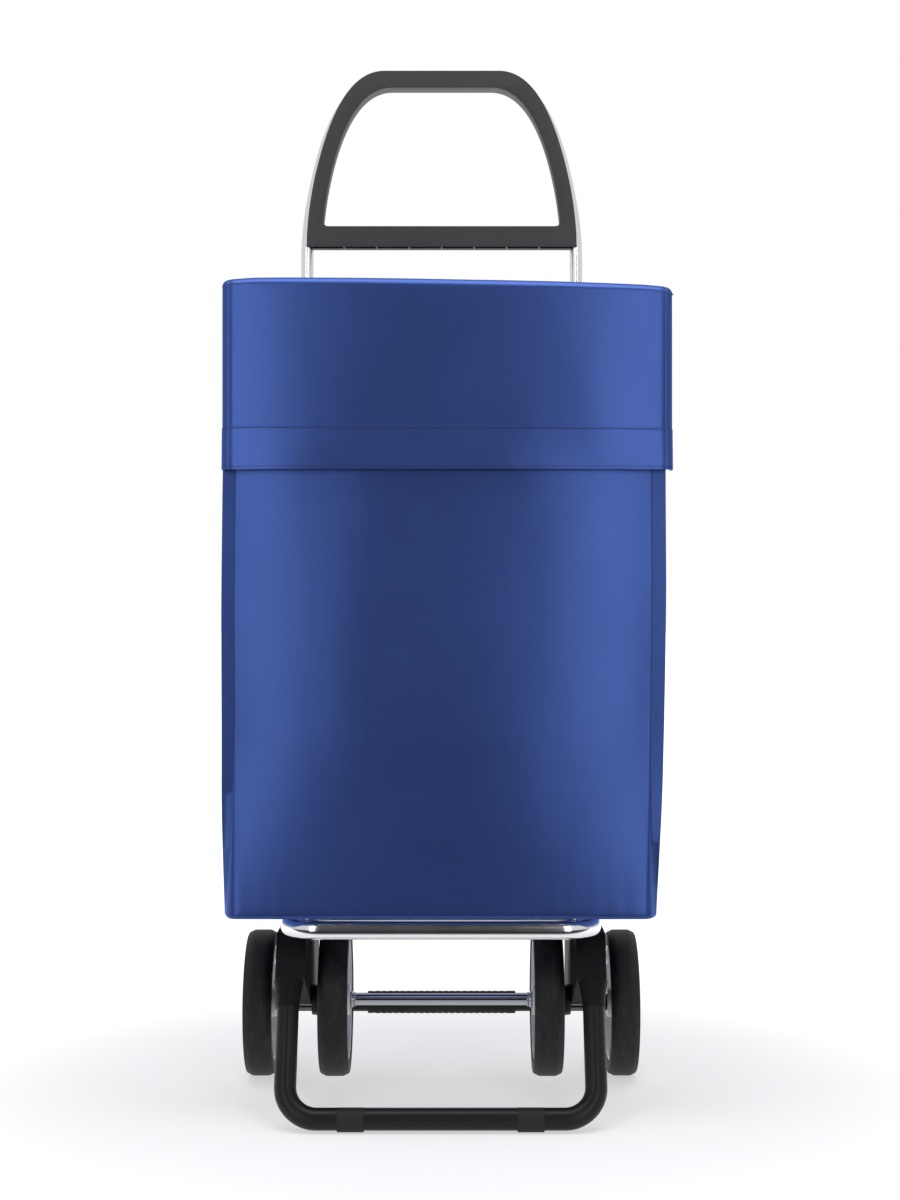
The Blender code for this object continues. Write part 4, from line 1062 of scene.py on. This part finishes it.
def bagShape(point, z):
    # push a ring point out into the bag's soft form
    look = bagLook
    x, y, nx, ny, bulge, wall = point
    height = (z - look["bottom"]) / (look["top"] - look["bottom"])
    free = sin(pi * max(0.0, min(1.0, height))) ** 0.6
    out = 0.0
    if wall == 1:
        lifted = min(1.0, height / 0.35)
        out -= (look["frontFall"] * lifted * (2 - lifted) + 0.001) * (1 - bulge)
        out += look["lowBelly"] * bulge * max(0.0, 1 - abs(height - 0.28) / 0.30)
    if wall in (2, 4):
        out -= look["sideFall"] * bulge * free
    place = Vector((x, y, z))
    if wall != 3:
        depth = look["crease"] if wall == 1 else look["sideCrease"]
        out += creases(place, 4.0) * depth * free * (0.4 + 0.6 * bulge)
    lowEdge = max(0.0, 1 - (z - look["bottom"]) / 0.05)
    out += look["pucker"] * lowEdge * sin(place.x * 340 + place.y * 300)
    if wall == 3:
        out = min(out, 0.0)
    slope = look["slope"] * max(0.0, x - look["slopeFrom"]) * max(0.0, (z - 0.66) / 0.135)
    return Vector((x + nx * out, y + ny * out, z - slope))


def bagRows(inset, floorLift):
    # levels from the middle of the floor out, round the lower edge and up to the rim
    look = bagLook
    rings = []
    bottom = look["bottom"] + floorLift
    round_ = look["bottomRound"]
    for share in (0.02, 0.2, 0.4, 0.6, 0.78, 0.9):
        rings.append(("floor", share, bottom, inset + round_))
    for i in range(7):
        angle = pi / 2 * i / 6
        rings.append(("wall", 1.0, bottom + round_ * (1 - cos(angle)), inset + round_ * (1 - sin(angle))))
    top = look["top"]
    start = bottom + round_
    for i in range(1, look["rows"] + 1):
        rings.append(("wall", 1.0, start + (top - start) * i / look["rows"], inset))
    return rings


def bagSurface(bm, inset, floorLift, uvLayer, seamShadeLayer, flip):
    look = bagLook
    middle = (look["front"] + look["back"]) / 2
    rings = []
    for kind, share, z, ringInset in bagRows(inset, floorLift):
        ring = []
        run = 0.0
        last = None
        for point in bagRing(z, ringInset):
            place = bagShape(point, z)
            if kind == "floor":
                place = Vector((place.x * share, middle + (place.y - middle) * share, z))
            vert = bm.verts.new(place)
            # the seam value marks painted shade: strongest at the bag's corners and fading along each wall, over
            # the lowest 12 mm of the walls, and faintly over the floor
            edgeNear = 1.0 if point[4] == 0.0 else max(0.0, 1 - point[4] * 14)
            low = max(0.0, 1 - (z - look["bottom"]) / 0.012) if kind == "wall" else 0.4
            vert[seamShadeLayer] = max(edgeNear * 0.8, low)
            run += (place - last).length if last else 0.0
            last = place
            ring.append((vert, run, z + (share - 1) * 0.11 if kind == "floor" else z))
        rings.append(ring)
    for before, after in zip(rings, rings[1:]):
        count = len(before)
        for i in range(count):
            k = (i + 1) % count
            quad = [before[i], before[k], after[k], after[i]]
            if flip:
                quad.reverse()
            face = bm.faces.new([vert for vert, run, high in quad])
            for loop, (vert, run, high) in zip(face.loops, quad):
                wrapped = run if not (k == 0 and run == 0.0) else before[i][1] + 0.004
                loop[uvLayer].uv = (wrapped, high)
            face.material_index = 1 if flip else 0
    hub = [vert for vert, run, high in rings[0]]
    centre = bm.verts.new(sum((vert.co for vert in hub), Vector()) / len(hub))
    for i, vert in enumerate(hub):
        other = hub[(i + 1) % len(hub)]
        trio = (other, vert, centre) if not flip else (vert, other, centre)
        bm.faces.new(trio).material_index = 1 if flip else 0
    return [vert for vert, run, high in rings[-1]]


def joinRims(bm, outer, inner):
    count = len(outer)
    for i in range(count):
        k = (i + 1) % count
        bm.faces.new((outer[i], outer[k], inner[k], inner[i]))


def squeeze(obj):
    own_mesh(obj)


def frontPoint(x, z):
    # the bag's front cloth at one place
    look = bagLook
    left, right = widthAt(look["left"], z), widthAt(look["right"], z)
    t = (x + left - look["corner"]) / (left + right - 2 * look["corner"])
    return bagShape((x, look["front"], 0, -1, 1 - abs(2 * t - 1) ** 2.6, 1), z)


def makeTape(name, node, rows):
    # a closing strip laid on the cloth it is sewn to
    bm = bmesh.new()
    grid = [[bm.verts.new(place) for place in row] for row in rows]
    for before, after in zip(grid, grid[1:]):
        for i in range(len(before) - 1):
            bm.faces.new((before[i], before[i + 1], after[i + 1], after[i]))
    bmesh.ops.recalc_face_normals(bm, faces=bm.faces)
    if sum(face.normal.y * face.calc_area() for face in bm.faces) > 0:
        bmesh.ops.reverse_faces(bm, faces=bm.faces)
    tape = newObject(name, meshFrom(bm, name), finishes["webbing"])
    thickened(tape, "wall", bagLook["tape"], 1)
    tape = bake(tape)
    settle(tape, [node])
    squeeze(tape)


def makeBag():
    look = bagLook
    bm = bmesh.new()
    uvLayer = bm.loops.layers.uv.new("UVMap")
    seamShadeLayer = bm.verts.layers.float.new("seam")
    outer = bagSurface(bm, 0.0, 0.0, uvLayer, seamShadeLayer, False)
    inner = bagSurface(bm, look["wall"], look["wall"], uvLayer, seamShadeLayer, True)
    joinRims(bm, outer, inner)
    bmesh.ops.recalc_face_normals(bm, faces=bm.faces)
    bag = newObject("bag_shell", meshFrom(bm, "bag_shell"), finishes["fabric"])
    bag.data.materials.append(finishes["lining"])
    smooth(bag.data, radians(60))
    settle(bag, ["bag_body"])
    squeeze(bag)
    low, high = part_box("bag_tape")
    makeTape("bag_strip", "bag_tape", [
        [frontPoint(low[0] + (high[0] - low[0]) * i / 24, low[2] + (high[2] - low[2]) * k / 4)
         + Vector((0, -0.0002, 0)) for i in range(25)] for k in range(5)])
    runs = []
    for level in (look["top"] - 0.022, look["top"] - 0.010):
        ring = bagRing(level)
        runs.append([bagShape(p, level) + Vector((p[2], p[3], 0)) * 0.0002 for p in ring + ring[:1]])
    for index in (look["across"] + 9, 2 * look["across"] + 23 + look["deep"]):
        count = int((look["top"] - look["bottom"] - 0.045) / 0.004)
        levels = [look["bottom"] + 0.016 + i * 0.004 for i in range(count)]
        places = [(bagRing(z)[index], z) for z in levels]
        runs.append([bagShape(p, z) + Vector((p[2], p[3], 0)) * 0.0001 for p, z in places])
    seams = stitches("bag_stitches", runs, 3)
    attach(seams, "chassis")
    squeeze(seams)


makeBag()
print("bag made")


# --- flap

flapLook = {
    "left": -0.2060, "right": 0.2182, "back": 0.0847, "front": -0.1430, "top": 0.7979, "hem": 0.6175,
    "strip": 0.0072, "stripSlope": 0.30, "groove": 0.0006, "topLean": 0.0022,
    "bend": 0.0065, "sideBend": 0.0042, "skirt": 0.016, "flare": 0.0036, "thickness": 0.0016, "fall": 0.0110,
    "hemBand": 0.040, "hemStep": 0.0005, "crown": 0.0012, "crease": 0.0011, "cornerDrop": 0.0012,
    "boardIn": 0.010, "boardUnder": 0.0016, "rows": (44, 10, 64), "across": 110,
}


def flapPath(distance):
    # point and outward normal on the middle line, from the rear edge over the front
    look = flapLook
    flat = look["back"] - look["front"] - look["bend"]
    quarter = look["bend"] * pi / 2
    if distance <= flat:
        return Vector((0, look["back"] - distance, look["top"])), Vector((0, 0, 1))
    if distance <= flat + quarter:
        angle = (distance - flat) / look["bend"]
        normal = Vector((0, -sin(angle), cos(angle)))
        centre = Vector((0, look["front"] + look["bend"], look["top"] - look["bend"]))
        return centre + normal * look["bend"], normal
    height = look["top"] - look["bend"] - (distance - flat - quarter)
    return Vector((0, look["front"], height)), Vector((0, -1, 0))


def flapLength():
    look = flapLook
    flat = look["back"] - look["front"] - look["bend"]
    return flat + look["bend"] * pi / 2 + look["top"] - look["bend"] - look["hem"]


def flapPoint(distance, across, lift=0.0):
    # across: metres from the left edge of the cut cloth, whose ends turn back as skirts
    look = flapLook
    base, normal = flapPath(distance)
    flat = look["back"] - look["front"] - look["bend"]
    outside = max(0.0, flat - distance, distance - flat - look["bend"] * pi / 2)
    skirt = min(look["skirt"], look["bend"] - look["sideBend"] + outside)
    width = look["right"] - look["left"] - 2 * look["sideBend"]
    quarter = look["sideBend"] * pi / 2
    total = width + 2 * quarter + 2 * look["skirt"]
    fromLeft, fromRight = across, total - across
    near = min(fromLeft, fromRight)
    sign = -1 if fromLeft < fromRight else 1
    edge = look["left"] if sign < 0 else look["right"]
    if near < look["skirt"]:
        out, back = Vector((sign, 0, 0)), look["sideBend"] + skirt * (1 - near / look["skirt"])
        x = edge
    elif near < look["skirt"] + quarter:
        angle = (near - look["skirt"]) / look["sideBend"]
        out = Vector((sign * cos(angle), 0, 0)) + normal * sin(angle)
        back = look["sideBend"] * (1 - sin(angle))
        x = edge - sign * look["sideBend"] * (1 - cos(angle))
    else:
        out, back = normal, 0.0
        x = look["left"] + look["sideBend"] + (across - look["skirt"] - quarter)
    middle = (look["left"] + look["right"]) / 2
    share = min(1.0, abs(x - middle) / ((look["right"] - look["left"]) / 2))
    drop = max(0.0, -normal.y)
    fromSeam = look["strip"] - min(x - look["left"], look["right"] - x)
    strip = look["stripSlope"] * max(0.0, fromSeam)
    depth = min(back + strip, look["bend"] * 0.75 + outside)
    place = Vector((x, base.y, base.z)) - normal * depth
    below = max(0.0, look["top"] - place.z) / (look["top"] - look["hem"])
    towardsFront = min(1.0, distance / flat) ** 3
    place.y += look["fall"] * share ** 3 * towardsFront
    place += normal * (-look["topLean"] * drop / (1 + 30 * below))
    place -= normal * look["groove"] * max(0.0, 1 - abs(fromSeam) / 0.0012)
    place += normal * look["crown"] * (1 - share ** 2) * (1 - drop)
    soft = creases(Vector((x, place.y * 0.3, place.z)), 11.0, 0.10) * look["crease"] * (0.25 + 0.75 * below)
    if back < look["sideBend"]:
        place += normal * soft
    toHem = flapLength() - distance
    if toHem < look["hemBand"]:
        place += out * look["hemStep"]
        place.y -= look["flare"] * (1 - toHem / look["hemBand"]) * (0.8 + 0.3 * sin(x * 31))
    slope = bagLook["slope"] * max(0.0, x - bagLook["slopeFrom"]) * (1 - below)
    place.z -= slope
    corner = max(0.0, 1 - min(near - look["skirt"], 0.03) / 0.03) if near > look["skirt"] else 1.0
    place.z -= look["cornerDrop"] * corner * (1 - below)
    return place + out * lift


def flapWidth():
    look = flapLook
    return look["right"] - look["left"] - 2 * look["sideBend"] + pi * look["sideBend"] + 2 * look["skirt"]


def flapSeam():
    # how far the seam beside each side strip is from the cut edge
    look = flapLook
    return look["skirt"] + look["sideBend"] * (pi / 2 - 1) + look["strip"]


def flapRows():
    look = flapLook
    flat = look["back"] - look["front"] - look["bend"]
    quarter = look["bend"] * pi / 2
    marks, start = [], 0.0
    for count, end in zip(look["rows"], (flat, flat + quarter, flapLength())):
        marks += [start + (end - start) * i / count for i in range(count)]
        start = end
    marks.append(flapLength())
    band = flapLength() - look["hemBand"]
    marks += [band - 0.0006, band + 0.0006]
    marks.sort()
    return [mark for mark, after in zip(marks, marks[1:] + [flapLength() + 1]) if after - mark > 0.0002]


def flapColumns():
    look = flapLook
    quarter = look["sideBend"] * pi / 2
    total = flapWidth()
    inner = look["skirt"] + quarter
    marks = [look["skirt"] * i / 5 for i in range(5)]
    marks += [look["skirt"] + quarter * i / 8 for i in range(8)]
    marks += [inner + (total - 2 * inner) * i / look["across"] for i in range(look["across"] + 1)]
    marks += [total - look["skirt"] - quarter * i / 8 for i in range(7, -1, -1)]
    marks += [total - look["skirt"] * i / 5 for i in range(4, -1, -1)]
    for side in (0.0012, 0.0, -0.0012):
        marks += [flapSeam() + side, total - flapSeam() - side]
    marks.sort()
    return [mark for mark, after in zip(marks, marks[1:] + [total + 1]) if after - mark > 0.0002]


def makeFlap():
    look = flapLook
    bm = bmesh.new()
    uvLayer = bm.loops.layers.uv.new("UVMap")
    seamShadeLayer = bm.verts.layers.float.new("seam")
    rows, columns = flapRows(), flapColumns()
    total = flapWidth()
    grid = []
    for distance in rows:
        line = []
        for across in columns:
            vert = bm.verts.new(flapPoint(distance, across))
            near = min(across, total - across)
            hem = abs(flapLength() - distance - look["hemBand"]) < 0.0012 or flapLength() - distance < 0.0015
            edge = abs(near - flapSeam()) < 0.0012 or near < 0.002
            # the seam value marks painted shade along the hem line, the bottom edge, the side seams and the cut
            # edges
            vert[seamShadeLayer] = 0.9 if hem or edge else 0.0
            line.append(vert)
        grid.append(line)
    for r, (before, after) in enumerate(zip(grid, grid[1:])):
        for c in range(len(columns) - 1):
            face = bm.faces.new((before[c], after[c], after[c + 1], before[c + 1]))
            cuts = [(r, c), (r + 1, c), (r + 1, c + 1), (r, c + 1)]
            for loop, (row, column) in zip(face.loops, cuts):
                loop[uvLayer].uv = (columns[column], rows[row])
    bmesh.ops.recalc_face_normals(bm, faces=bm.faces)
    if sum(face.normal.z * face.calc_area() for face in bm.faces) < 0:
        bmesh.ops.reverse_faces(bm, faces=bm.faces)
    flap = newObject("flap_sheet", meshFrom(bm, "flap_sheet"), finishes["fabric"])
    flap.data.materials.append(finishes["lining"])
    wall = thickened(flap, "cloth", look["thickness"], -1)
    wall.material_offset = 1
    wall.material_offset_rim = 0
    flap = bake(flap)
    smooth(flap.data, radians(60))
    settle(flap, ["flap_panel"])
    squeeze(flap)
    low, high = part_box("flap_tape")
    start = look["skirt"] + look["sideBend"] * (pi / 2 - 1) - look["left"]
    rise, lift = (high[2] - low[2]) / 4, -look["thickness"] - 0.0001
    levels = [flapLength() - (low[2] - look["hem"]) - rise * k for k in range(5)]
    makeTape("flap_strip", "flap_tape", [
        [flapPoint(level, start + low[0] + (high[0] - low[0]) * i / 24, lift) for i in range(25)]
        for level in levels])
    inner = look["skirt"] + look["sideBend"]
    hemLine = flapLength() - look["hemBand"] + 0.001
    runs = [[flapPoint(hemLine, inner + (total - 2 * inner) * i / 90, 0.0002) for i in range(91)],
            [flapPoint(flapLength() - 0.003, inner + (total - 2 * inner) * i / 90, 0.0002) for i in range(91)]]
    start = look["back"] - look["front"]
    for across in (flapSeam() + 0.003, total - flapSeam() - 0.003):
        runs.append([flapPoint(0.006 + (start - 0.02) * i / 40, across, 0.0002) for i in range(41)])
    sewn = stitches("flap_stitches", runs, 7)
    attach(sewn, "flap")
    squeeze(sewn)


def makeStiffener():
    low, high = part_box("flap_stiffener")
    bm = bmesh.new()
    bmesh.ops.create_grid(bm, x_segments=24, y_segments=8, size=0.5)
    for vert in bm.verts:
        left, right = flapLook["left"] + flapLook["boardIn"], flapLook["right"] - flapLook["boardIn"]
        x = left + (vert.co.x + 0.5) * (right - left)
        share = abs(2 * vert.co.x)
        front = flapLook["front"] + flapLook["boardIn"] + flapLook["fall"] * share ** 3
        slope = bagLook["slope"] * max(0.0, x - bagLook["slopeFrom"])
        vert.co = (x, front + (vert.co.y + 0.5) * (high[1] - front), high[2] - slope - flapLook["boardUnder"])
    board = newObject("flap_board", meshFrom(bm, "flap_board"), finishes["board"])
    thickened(board, "wall", high[2] - low[2], -1)
    board = bake(board)
    settle(board, ["flap_stiffener"])
    squeeze(board)


makeFlap()
makeStiffener()
print("flap made")
